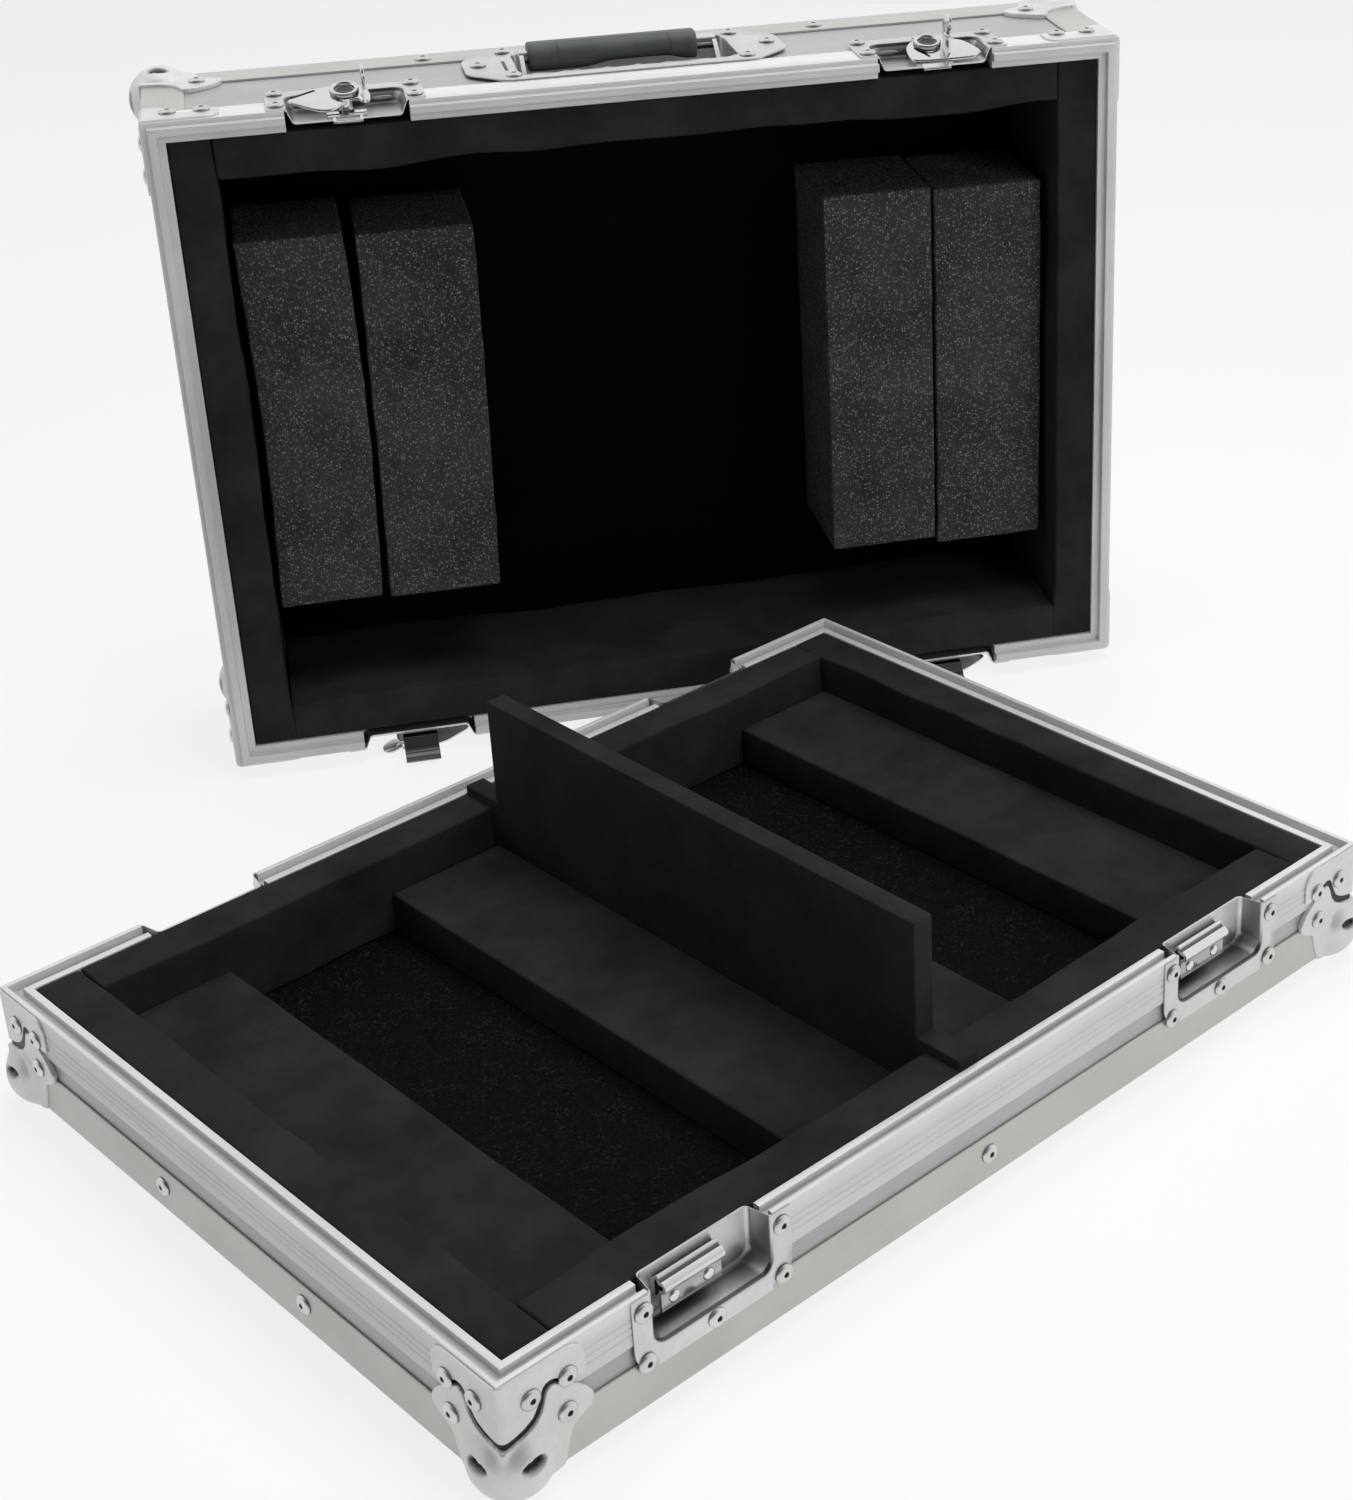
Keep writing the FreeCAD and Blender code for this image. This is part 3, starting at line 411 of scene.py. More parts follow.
upright = Matrix(((0, 1, 0, 0), (0, 0, 1, 0), (1, 0, 0, 0), (0, 0, 0, 1)))
upright_section = [
    (0, 0), (EDGE_LEG, 0), (EDGE_LEG, METAL_GAUGE), (METAL_GAUGE, METAL_GAUGE),
    (METAL_GAUGE, EDGE_LEG), (0, EDGE_LEG)]
shape = new_shape()
for number in range(len(CORNERS)):
    add_bar(shape, rounded(upright_section, EDGE_ROUND), at_corner(number) @ upright,
            [(RIM_LEG, 0), (LID_HEIGHT - EDGE_LEG, 0)])
seat("lid_corner_angles_drawn", shape, "lid", edge_aluminium, "lid", "lid_corner_angles")


# Ball corners.
# Steel caps pressed in one piece over the outer corners and plated: a ball that flows into three riveted
# ears, with a pressed dimple on each side.

BALL_RADIUS = 19.0
BALL_DROP = 8.5
BALL_GAUGE = 1.5
EAR_OUTLINE = [
    (-1.5, -1.5), (29.7, -1.5), (30.2, 2.0), (32.6, 8.6), (35.0, 17.5), (39.5, 19.6), (44.2, 21.5),
    (46.0, 26.0), (42.5, 32.5), (36.5, 37.6), (30.5, 41.6), (26.0, 43.4), (23.0, 42.6), (21.6, 39.0),
    (20.3, 34.5), (16.5, 29.6), (10.5, 26.6), (-1.5, 24.6)]
EAR_ROUND = 2.4
EAR_RIVET = (31.5, 26.0)
UNDER_EAR_REACH = 28.0
UNDER_EAR_END = 39.5
RIDGE_SPOT = (2.6, 2.6, -21.0)
RIDGE_RADIUS = 4.4
BALL_VOXEL = 0.75
DIMPLE_SPOT = (10.0, 15.6)
DIMPLE_SIZE = (6.6, 3.0)
DIMPLE_SLANT = math.radians(8)
DIMPLE_DEPTH = 3.4
DIMPLE_STEEPNESS = 2.2
DIMPLE_PAINTED_SHADE = 3.2
BLEND_REACH = 9.0
BLEND_ROUNDS = 34
BLEND_TOP = 22.5


def join_rows(shape, rows, closed=False):
    """Faces between rows of points that follow one another, open ones or closed rings."""
    for lower, upper in zip(rows, rows[1:]):
        for number in range(len(lower) if closed else len(lower) - 1):
            after = (number + 1) % len(lower)
            shape.faces.new((lower[number], lower[after], upper[after], upper[number]))


def add_prism(shape, points, sweep):
    """Solid made by moving a flat outline along a vector."""
    near = [shape.verts.new(point) for point in points]
    far = [shape.verts.new(Vector(point) + Vector(sweep)) for point in points]
    shape.faces.new(near)
    shape.faces.new(far)
    join_rows(shape, [near, far], closed=True)


def evaluated(holder):
    """Mesh of an object as its modifiers leave it."""
    graph = bpy.context.evaluated_depsgraph_get()
    graph.update()
    return bpy.data.meshes.new_from_object(holder.evaluated_get(graph))


def as_one_skin(shape, facet):
    """New shape with one skin of even facets round all that overlaps in another."""
    holder = new_object("unfinished", new_mesh("unfinished", shape))
    modifier = holder.modifiers.new("skin", "REMESH")
    modifier.mode = "VOXEL"
    modifier.voxel_size = facet
    skin, mesh = evaluated(holder), holder.data
    bpy.data.objects.remove(holder)
    bpy.data.meshes.remove(mesh)
    shape = bmesh.new()
    shape.from_mesh(skin)
    bpy.data.meshes.remove(skin)
    return shape


def ball_corner():
    """Cap for the front left corner, with X and Y along the walls and Z down past the tray's flat side."""
    middle = BALL_RADIUS - BALL_DROP
    centre = Vector((middle, middle, -middle))
    shape = bmesh.new()
    for spot, radius in ((centre, BALL_RADIUS), (Vector(RIDGE_SPOT), RIDGE_RADIUS)):
        bmesh.ops.create_uvsphere(shape, u_segments=48, v_segments=32, radius=radius,
                                  matrix=Matrix.Translation(spot))
    hull = bmesh.ops.convex_hull(shape, input=shape.verts)
    inside = [part for part in hull["geom_interior"] if isinstance(part, bmesh.types.BMVert)]
    bmesh.ops.delete(shape, geom=inside, context="VERTS")
    ear = rounded(EAR_OUTLINE, EAR_ROUND)
    sunk = METAL_GAUGE + BALL_GAUGE
    add_prism(shape, [(run, -BALL_GAUGE, -rise) for run, rise in ear], (0, sunk, 0))
    add_prism(shape, [(-BALL_GAUGE, run, -rise) for run, rise in ear], (sunk, 0, 0))
    reach, end = UNDER_EAR_REACH, UNDER_EAR_END
    under = [(0, 0), (reach, 0), (end, reach), (end, end), (reach, end), (0, reach)]
    add_prism(shape, [(run, back, BALL_GAUGE) for run, back in under], (0, 0, -sunk))
    bmesh.ops.recalc_face_normals(shape, faces=shape.faces)
    shape = as_one_skin(shape, BALL_VOXEL)
    near_ball = [v for v in shape.verts
                 if abs((v.co - centre).length - BALL_RADIUS) < BLEND_REACH and v.co.z > -BLEND_TOP]
    for verts in [near_ball] * BLEND_ROUNDS + [shape.verts]:
        bmesh.ops.smooth_vert(
            shape, verts=verts, factor=0.5, use_axis_x=True, use_axis_y=True, use_axis_z=True)
    # Painted shade in the pressed dimples, darkest at their middles.
    dark = shape.verts.layers.float.new("hollow")
    for vertex in shape.verts:
        for axis, other in ((0, 1), (1, 0)):
            across, up = vertex.co[axis] - DIMPLE_SPOT[0], -vertex.co.z - DIMPLE_SPOT[1]
            along = across * math.cos(DIMPLE_SLANT) + up * math.sin(DIMPLE_SLANT)
            aside = up * math.cos(DIMPLE_SLANT) - across * math.sin(DIMPLE_SLANT)
            spread = math.hypot(along / DIMPLE_SIZE[0], aside / DIMPLE_SIZE[1])
            if spread < 1 and vertex.co[other] < 0:
                vertex.co[other] += DIMPLE_DEPTH * min(1, DIMPLE_STEEPNESS * (1 - spread))
                vertex[dark] = min(1, DIMPLE_PAINTED_SHADE * (1 - spread))
    return shape


plated_steel = metal(
    "plated_steel", (0.62, 0.62, 0.63), (0.74, 0.74, 0.74), (0.30, 0.42), (160.0, 160.0), bump=0.0,
    metallic=0.5)
cap = new_mesh("ball_cap", ball_corner())
for tray, height in HEIGHTS.items():
    shape = bmesh.new()
    for number in range(len(CORNERS)):
        placed = cap.copy()
        placed.transform(at_corner(number) @ Matrix.Translation((0, 0, height)))
        shape.from_mesh(placed)
        bpy.data.meshes.remove(placed)
    seat(tray + "_ball_corners_pressed", shape, tray, plated_steel, tray,
         tray + "_ball_corners", flat_angle=70)
bpy.data.meshes.remove(cap)


# Rim braces.
# Plated steel plates folded round the mitred rim corners, two rivets a side. Their lower edge runs to a
# point and follows the ball corner's ears on the base, with a narrow gap between, where a thin sheet of
# painted shade lies on the wall.

SHEET_GAUGE = 1.2
BRACE_REACH = 42.0
BRACE_TOP = 1.0
BRACE_ROUND = 8.0
BRACE_FOLD = 2.6
BRACE_EDGE = [
    (0.0, 29.5), (5.0, 28.8), (9.6, 27.6), (14.2, 25.2), (17.0, 21.7), (18.4, 17.8), (19.8, 14.2),
    (22.3, 12.1), (25.7, 11.9), (28.9, 13.8), (32.4, 16.4), (36.2, 18.6), (40.0, 19.0), (42.0, 17.8)]
BRACE_LAYERS = [(0.05, 0.0), (SHEET_GAUGE - 0.3, 0.0), (SHEET_GAUGE, 0.3)]
SHADE_SHEET_LAYERS = [(0.04, 0.0), (0.12, 0.0)]
SHADE_SHEET_MARGIN = 1.6
EAR_TOP_START = 11


def along_line(line, run):
    """Height of a line of (run, height) places at a run."""
    for here, there in zip(line, line[1:]):
        if run <= there[0]:
            share = max(0, (run - here[0]) / (there[0] - here[0]))
            return here[1] + (there[1] - here[1]) * share
    return line[-1][1]


def brace_limits(run):
    """Depth of a brace's upper and lower edge at a distance round the corner from its fold."""
    to_end = BRACE_REACH - run
    turn = 0.0
    if to_end < BRACE_ROUND:
        turn = BRACE_ROUND - math.sqrt(max(BRACE_ROUND ** 2 - (BRACE_ROUND - to_end) ** 2, 0))
    return BRACE_TOP + turn, along_line(BRACE_EDGE, run)


def shade_sheet_limits(run):
    """Depths of the thin sheet of painted shade on the wall behind the gap from a brace to a base corner's
    ear.
    """
    ear_top = [(run, BASE_HEIGHT - rise) for run, rise in reversed(EAR_OUTLINE[EAR_TOP_START:])]
    return along_line(BRACE_EDGE, run) - SHADE_SHEET_MARGIN, along_line(ear_top, run) + SHADE_SHEET_MARGIN


def folded(run, lift):
    """Place on a sheet folded round a corner, at a signed distance from the fold and a lift from the wall."""
    quarter = BRACE_FOLD * math.pi / 4
    if run > quarter:
        return BRACE_FOLD + run - quarter, -lift
    if run < -quarter:
        return -lift, BRACE_FOLD - run - quarter
    angle = math.radians(225) + run / BRACE_FOLD
    reach = BRACE_FOLD + lift
    return BRACE_FOLD + reach * math.cos(angle), BRACE_FOLD + reach * math.sin(angle)


def add_sheet(shape, stations, limits, place, layers, hollow=0.0):
    """Folded plate built in columns, from its wall side to its bevelled face."""
    dark = shape.verts.layers.float["hollow"]
    grids = []
    for lift, trim in layers:
        columns = []
        for run in stations:
            top, low = limits(abs(run))
            trim_run = run * (1 - trim / max(abs(stations[-1]), 1))
            across, back = folded(trim_run, lift)
            columns.append([
                shape.verts.new(place @ Vector((across, back, depth))) for depth in (top + trim, low - trim)])
            for vertex in columns[-1]:
                vertex[dark] = hollow
        grids.append(columns)
    for end in (0, -1):
        join_rows(shape, grids[end])
        join_rows(shape, [[column[end] for column in grid] for grid in grids])
        join_rows(shape, [grid[end] for grid in grids])


def both_ways(stations):
    """Stations on one side of a fold and their mirror images."""
    return [-run for run in reversed(stations[1:])] + stations


fold_stations = [0.0, 0.6, 1.2, 1.8, 2.4]
edge_stations = fold_stations + [5.0, 8.0] + [10.0 + 1.5 * step for step in range(17)]
end_stations = [BRACE_REACH - BRACE_ROUND * (1 - math.sin(math.radians(step))) for step in range(6, 91, 7)]
for tray in TRAYS:
    shape = new_shape()
    for number in range(len(CORNERS)):
        place = at_corner(number)
        add_sheet(shape, both_ways(edge_stations[:-1] + end_stations), brace_limits, place, BRACE_LAYERS)
        if tray == "base":
            # A thin sheet of painted shade on the wall, seen through the gap between brace and ear.
            add_sheet(shape, both_ways(edge_stations), shade_sheet_limits, place, SHADE_SHEET_LAYERS, 1.0)
    seat(tray + "_braces_folded", shape, tray, plated_steel, tray, tray + "_corner_braces",
         flat_angle=30)


# Latch dishes.
# Shallow trays pressed from plated sheet, open at the rim, one for each keeper in the base and each latch
# in the lid. Their flanges sit on the wall outside with five rivets, and the lid's have an oblong bead.

DISH_HALF = 32.5
DISH_FLOOR = 29.0
DISH_RECESS = 12.0
LATCH_RECESS = 7.2
DISH_CORNER = 6.5
DISH_TOP = 1.0
DISH_BACK_EDGE = 3.0
DISH_GAUGE_SHARE = 0.98
FLANGE = 11.5
FLANGE_FLOOR_SHARE = 0.91
FLANGE_CORNER_SHARE = 0.55
FLANGE_BEVEL = (0.25, 0.3)
DISH_BEND = 2.6
DISH_DRAFT = 1.6
# Painted shade deep in each dish, from the first depth to the second, and a painted dark reflection on the
# lower part of the bend from the flange.
POCKET_SHADE_DEPTHS = (15.0, 27.0)
POCKET_PAINTED_SHADE = 0.8
BEND_PAINTED_REFLECTION = 0.85
PAINTED_REFLECTION_STEPS = (4, 5, 6)
BEAD_SPOT = (21.5, 4.4, 27.8)
BEAD_HALF = (6.4, 1.4, 0.8)
BEAD_SIDES = {("front", -1): 1, ("front", 1): -1, ("rear", -1): 1, ("rear", 1): 1}
LATCH_SPOTS = [(wall, side) for wall in LONG_WALLS for side in (-1, 1)]


def dish_ring(out, depth_in):
    """Points down one side of a dish, along its floor and up the other, at a distance out from its mouth."""
    half = DISH_HALF + out
    floor = DISH_FLOOR + (out * FLANGE_FLOOR_SHARE if out > 0 else out)
    corner = DISH_CORNER + (FLANGE_CORNER_SHARE * out if out > 0 else 0)
    points = [(-half, DISH_TOP), (-half, (DISH_TOP + floor - corner) / 2)]
    for step in range(9):
        angle = math.radians(180 - 90 * step / 8)
        points.append((corner - half + corner * math.cos(angle), floor - corner + corner * math.sin(angle)))
    points += [(share * (half - corner), floor) for share in (-0.5, 0.0)]
    points += [(-run, depth) for run, depth in reversed(points[:-1])]
    return [Vector((run, depth_in, depth)) for run, depth in points]


def dish_line(recess):
    """Section of the pressed sheet's seen face, from the flange's edge to the back wall."""
    line = [(FLANGE - FLANGE_BEVEL[0], -SHEET_GAUGE), (DISH_BEND, -SHEET_GAUGE)]
    for step in range(1, 7):
        angle = math.radians(90 * step / 6)
        line.append((DISH_BEND * (1 - math.sin(angle)), DISH_BEND * (1 - math.cos(angle)) - SHEET_GAUGE))
    for step in range(7):
        angle = math.radians(90 * step / 6)
        line.append((-DISH_DRAFT - DISH_BEND * (1 - math.cos(angle)),
                     recess - DISH_BEND + DISH_BEND * math.sin(angle)))
    return line + [(-DISH_DRAFT - DISH_BEND - DISH_BACK_EDGE, recess)]


def add_dish(shape, place, recess):
    """Closed pressing: the seen face, the face against the wall, and the sheet's edge between them."""
    dark = shape.verts.layers.float["hollow"]
    line = dish_line(recess)
    front = []
    for number, step in enumerate(line):
        front.append([])
        for spot in dish_ring(*step):
            vertex = shape.verts.new(place @ spot)
            # Painted shade growing towards the floor and back of the pocket, and a painted dark reflection on
            # the bend.
            share = min(max((spot.z - POCKET_SHADE_DEPTHS[0]) / (POCKET_SHADE_DEPTHS[1] - POCKET_SHADE_DEPTHS[0]), 0), 1)
            vertex[dark] = POCKET_PAINTED_SHADE * share * min(max((spot.y - DISH_BEND) / DISH_BEND, 0), 1)
            if number in PAINTED_REFLECTION_STEPS:
                vertex[dark] = BEND_PAINTED_REFLECTION * share
            front[-1].append(vertex)
    backs = [dish_ring(out, deep + SHEET_GAUGE * DISH_GAUGE_SHARE) for out, deep in line]
    behind = [[shape.verts.new(place @ spot) for spot in ring] for ring in backs]
    rim = [shape.verts.new(place @ spot) for spot in dish_ring(FLANGE, FLANGE_BEVEL[1] - SHEET_GAUGE)]
    join_rows(shape, behind[::-1] + [rim] + front)
    for wall in (front[-1], behind[-1]):
        last = len(wall) - 1
        for number in range(last // 2):
            rung = (wall[number], wall[number + 1], wall[last - number - 1], wall[last - number])
            shape.faces.new(list(dict.fromkeys(rung)))
    for end in (0, -1):
        join_rows(shape, [[ring[end] for ring in side] for side in (front, behind)])
        shape.faces.new((front[0][end], behind[0][end], rim[end]))
    shape.faces.new((front[-1][0], front[-1][-1], behind[-1][-1], behind[-1][0]))


pressed_steel = metal(
    "pressed_steel", (0.57, 0.57, 0.58), (0.70, 0.70, 0.70), (0.28, 0.40), (160.0, 160.0), bump=0.0,
    metallic=0.9)
bead_run, bead_deep, bead_depth = BEAD_SPOT
for tray, solid, recess in (("base", "keeper_dishes", DISH_RECESS), ("lid", "latch_dishes", LATCH_RECESS)):
    shape = new_shape()
    for wall, side in LATCH_SPOTS:
        place = on_wall(wall, side * LATCH_OFFSET)
        add_dish(shape, place, recess)
        if tray == "lid":
            spot = Matrix.Translation((BEAD_SIDES[wall, side] * bead_run, bead_deep, bead_depth))
            bmesh.ops.create_uvsphere(shape, u_segments=24, v_segments=12, radius=1.0,
                                      matrix=place @ spot @ Matrix.Diagonal((*BEAD_HALF, 1)))
    seat(solid + "_pressed", shape, tray, pressed_steel, tray, solid, flat_angle=50)


# Keeper catches.
# Polished steel strips rolled into a double ridge that the latch hook pulls on, each held to the back of
# its dish by two studs.

CATCH_WIDTH = 33.0
CATCH_SHIFT = -6.0
CATCH_GAUGE = 1.5
CATCH_ROUND = 1.1
CATCH_LINE_SHARES = (
    (0.94, 0.56), (0.94, 0.24), (0.75, 0.18), (0.63, 0.29), (0.50, 0.25), (0.34, 0.30), (0.38, 0.38),
    (0.62, 0.42), (0.62, 0.80))
CATCH_STUD = 3.0
CATCH_STUD_STEPS = [(0.0, -0.2), (0.0, 0.35), (0.35, 0.7), (1.2, 0.95), (2.2, 1.05)]
# Painted shade along the catch's back, in the groove between its ridges and on its face below them.
CATCH_PAINTED_SHADES = (0.8, 0.5, 0.0, 0.85, 0.0, 0.0, 0.3, 0.5, 0.3)
CATCH_STUD_OFFSET = 9.5
CATCH_STUD_DEPTH = 18.0
RIPPLE_RATES = (0.55, 0.21)


def strip_outline(line, gauge):
    """Outline of a bent strip of even thickness that follows a line."""
    sides = ([], [])
    for number, spot in enumerate(line):
        ways = [(Vector(b) - Vector(a)).normalized()
                for a, b in zip(line[max(number - 1, 0):], line[max(number - 1, 0) + 1:number + 2])]
        normals = [Vector((-way.y, way.x)) for way in ways]
        lean = sum(normals, Vector((0, 0)))
        lean *= len(normals) / lean.length_squared
        for side, sign in zip(sides, (1, -1)):
            side.append(Vector(spot) + lean * (sign * gauge / 2))
    return sides[0] + sides[1][::-1]


def inset(outline, amount):
    """Outline drawn in by a distance."""
    spots = [Vector(spot) for spot in outline]
    pairs = list(zip(spots, spots[1:] + spots[:1]))
    inwards = 1 if sum(here.x * there.y - there.x * here.y for here, there in pairs) > 0 else -1
    ways = [(there - here).normalized() for here, there in pairs]
    drawn = []
    for spot, before, after in zip(spots, ways[-1:] + ways[:-1], ways):
        way = (before + after).normalized()
        drawn.append(spot + Vector((-way.y, way.x)) * (amount * inwards))
    return drawn


def add_rings(shape, outline, steps, place, ripple=0.0):
    """Rings of points on an outline, each drawn in by a distance and at a height, joined by faces."""
    rings = []
    for drawn_in, height in steps:
        ring = []
        for spot in inset(outline, drawn_in):
            wave = ripple * math.sin(spot.x * RIPPLE_RATES[0]) * math.sin(spot.x * RIPPLE_RATES[1] + 1.0)
            ring.append(shape.verts.new(place @ Vector((*spot, height + wave))))
        rings.append(ring)
    join_rows(shape, rings, closed=True)
    return rings


def add_stack(shape, outline, steps, place, painted_shades=()):
    """Solid built up from a flat outline in steps, each drawn in by a distance and at a height. The shades
    say how much painted shade each step carries."""
    dark = shape.verts.layers.float["hollow"]
    rings = add_rings(shape, outline, steps, place)
    for ring, shade in zip(rings, painted_shades):
        for vertex in ring:
            vertex[dark] = shade
    shape.faces.new(rings[0])
    shape.faces.new(rings[-1])


def circle(radius, points=18):
    """Round outline."""
    turns = [2 * math.pi * number / points for number in range(points)]
    return [(radius * math.cos(turn), radius * math.sin(turn)) for turn in turns]


FACING_OUT = Matrix.Rotation(math.radians(90), 4, "X")
chrome = metal("chrome_plate", (0.62, 0.63, 0.64), (0.75, 0.76, 0.77), (0.11, 0.18), (60.0, 60.0), bump=0.0)
catch_line = [(inward * DISH_RECESS, depth * DISH_FLOOR) for inward, depth in CATCH_LINE_SHARES]
catch_outline = rounded(strip_outline(catch_line, CATCH_GAUGE), CATCH_ROUND, 4)
catch_face = catch_line[-1][0] - CATCH_GAUGE / 2
shape = new_shape()
for wall, side in LATCH_SPOTS:
    place = on_wall(wall, side * LATCH_OFFSET + CATCH_SHIFT)
    add_bar(shape, catch_outline, place, [(-CATCH_WIDTH / 2, 0), (CATCH_WIDTH / 2, 0)],
            CATCH_PAINTED_SHADES + CATCH_PAINTED_SHADES[::-1])
    for stud in (-1, 1):
        foot = Matrix.Translation((stud * CATCH_STUD_OFFSET, catch_face, CATCH_STUD_DEPTH))
        add_stack(shape, circle(CATCH_STUD), CATCH_STUD_STEPS, place @ foot @ FACING_OUT)
seat("keeper_catches_rolled", shape, "base", chrome, "base", "keeper_catches", flat_angle=50)


# Rivets.
# Aluminium pop rivets with domed heads, pulled through the edging, plates and boards. The mandrel leaves a
# small pit in the middle of each head, which is darkened with painted shade, as is the foot of each head.

RIVET_RADIUS = 4.8
RIVET_STEPS = [
    (0.5, 0.0), (0.0, 0.3), (0.0, 0.75), (0.3, 1.1), (1.1, 1.55), (2.2, 1.85), (3.2, 1.95), (3.5, 1.75),
    (3.65, 1.0)]
# Painted shade at the foot of each head and in its pit.
RIVET_PAINTED_SHADES = (0.25, 0.1, 0.0, 0.0, 0.0, 0.0, 0.0, 0.75, 0.85)
BRACE_RIVETS = (14.7, 33.2)
BRACE_RIVET_DEPTH = 15.0
DISH_RIVET_DEPTH = 8.0
DISH_RIVET_RUN = 38.25
DISH_RIVET_LOW = 34.25
EDGE_RIVET_INSET = 14.0
EDGE_RIVETS = {
    "base": {"long": (0,), "short": (-58.0, 58.0)},
    "lid": {"long": (-118.0, 118.0), "short": (-58.0, 58.0)},
}
HANDLE_DEPTH = 58.32
HANDLE_PLATE = (188.0, 76.0, 1.5)
HANDLE_RIVET_TIP = 8.5
HANDLE_RIVET_RUN = 26.0
HANDLE_RIVET_SIDE = 8.5


def rivet_places(tray):
    """Foot and direction of every rivet head on a tray, in millimetres."""
    height = HEIGHTS[tray]
    spots = []
    for wall in WALL_TURNS:
        half = wall_run(wall)
        long_wall = wall in LONG_WALLS
        for side in (-1, 1):
            for reach in BRACE_RIVETS:
                spots.append((wall, side * (half - reach), BRACE_RIVET_DEPTH, SHEET_GAUGE))
            spots.append((wall, side * (half - EAR_RIVET[0]), height - EAR_RIVET[1], BALL_GAUGE))
            if long_wall:
                middle = side * LATCH_OFFSET
                spots.append((wall, middle, DISH_RIVET_LOW, SHEET_GAUGE))
                for run in (middle - DISH_RIVET_RUN, middle + DISH_RIVET_RUN):
                    for depth in (DISH_RIVET_DEPTH, DISH_RIVET_LOW):
                        spots.append((wall, run, depth, SHEET_GAUGE))
        for run in EDGE_RIVETS[tray]["long" if long_wall else "short"]:
            spots.append((wall, run, height - EDGE_RIVET_INSET, 0))
    if tray == "lid":
        for end in (-1, 1):
            tip = HANDLE_SHIFT + end * (HANDLE_PLATE[0] / 2 - HANDLE_RIVET_TIP)
            run = HANDLE_SHIFT + end * (HANDLE_PLATE[0] / 2 - HANDLE_RIVET_RUN)
            aside = HANDLE_PLATE[1] / 2 - HANDLE_RIVET_SIDE
            spots.append(("front", tip, HANDLE_DEPTH, HANDLE_PLATE[2]))
            spots += [("front", run, HANDLE_DEPTH + side * aside, HANDLE_PLATE[2]) for side in (-1, 1)]
    places = []
    for wall, run, depth, lift in spots:
        turn = on_wall(wall)
        places.append((turn @ Vector((run, -lift, depth)), turn.to_3x3() @ Vector((0, -1, 0))))
    for number in range(len(CORNERS)):
        foot = at_corner(number) @ Vector((UNDER_EAR_REACH, UNDER_EAR_REACH, height + BALL_GAUGE))
        places.append((foot, Vector((0, 0, 1))))
    return places


def rivet_head():
    """One head standing on Z zero, with its pit, in metres."""
    shape = new_shape()
    add_stack(shape, circle(RIVET_RADIUS), RIVET_STEPS, Matrix.Scale(MM, 4), RIVET_PAINTED_SHADES)
    bmesh.ops.recalc_face_normals(shape, faces=shape.faces)
    mesh = new_mesh("rivet_head", shape)
    smooth(mesh, flat_angle=50)
    return mesh


def rivet_tree(material):
    """Tree that stands a head on each point, turned along the point's own outward direction."""
    tree, given, result = new_group(
        "rivets_on_points", "GeometryNodeTree", {"Geometry": "Geometry", "Head": "Object"},
        {"Geometry": "Geometry"})
    model = add_node(tree, "GeometryNodeObjectInfo", {"Object": given["Head"]})
    outward = add_node(tree, "GeometryNodeInputNamedAttribute", {"Name": "outward"}, data_type="FLOAT_VECTOR")
    turn = add_node(tree, "FunctionNodeAlignRotationToVector", {"Vector": outward.outputs[0]}, axis="Z")
    stood = add_node(tree, "GeometryNodeInstanceOnPoints", {
        "Points": given["Geometry"], "Instance": model.outputs["Geometry"],
        "Rotation": turn.outputs["Rotation"]})
    solid = add_node(tree, "GeometryNodeRealizeInstances", {"Geometry": stood.outputs["Instances"]})
    dressed = add_node(tree, "GeometryNodeSetMaterial", {
        "Geometry": solid.outputs["Geometry"], "Material": material})
    tree.links.new(dressed.outputs["Geometry"], result["Geometry"])
    return tree, tree.interface.items_tree["Head"].identifier


rivet_aluminium = metal(
    "rivet_aluminium", (0.56, 0.56, 0.545), (0.72, 0.72, 0.705), (0.28, 0.42), (220.0, 220.0), bump=0.03)
head_object = new_object("rivet_head", rivet_head())
rivets, head_socket = rivet_tree(rivet_aluminium)
for tray, matrix in TRAYS.items():
    places = rivet_places(tray)
    points = bpy.data.meshes.new(tray + "_rivet_points")
    points.from_pydata([matrix @ foot for foot, way in places], [], [])
    directions = points.attributes.new("outward", "FLOAT_VECTOR", "POINT")
    for entry, (foot, way) in zip(directions.data, places):
        entry.vector = (matrix.to_3x3() @ way).normalized()
    holder = new_object(tray + "_rivets_set", points)
    modifier = holder.modifiers.new("rivets", "NODES")
    modifier.node_group = rivets
    modifier[head_socket] = head_object
    solid = evaluated(holder)
    holder.modifiers.clear()
    holder.data = solid
    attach(holder, tray)
    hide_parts(tray + "_rivets")
bpy.data.objects.remove(head_object)


# Floor carpet and lid felt.
# Black needle-felt sheets glued to the base's floor and inside the lid's top, cut to the boards.

CARPET_THICKNESS = 1.5
CLOTH_GRID = (90, 64)
CLOTH_WAVE = (0.25, 9.0, 0.6)
CLOTH_LEVELS = {"Roughness": 0.95, "Specular IOR Level": 0.15}
FIBRE_NOISE = (5.0, 0.75)
FLECK_FADE = 0.18
TUFT_SCALE = 0.12
TUFT_DETAIL = 3.0
TUFT_SPAN = (0.25, 1, 0.35, 0.65)
CLOTH_RELIEF = (0.8, 0.001)


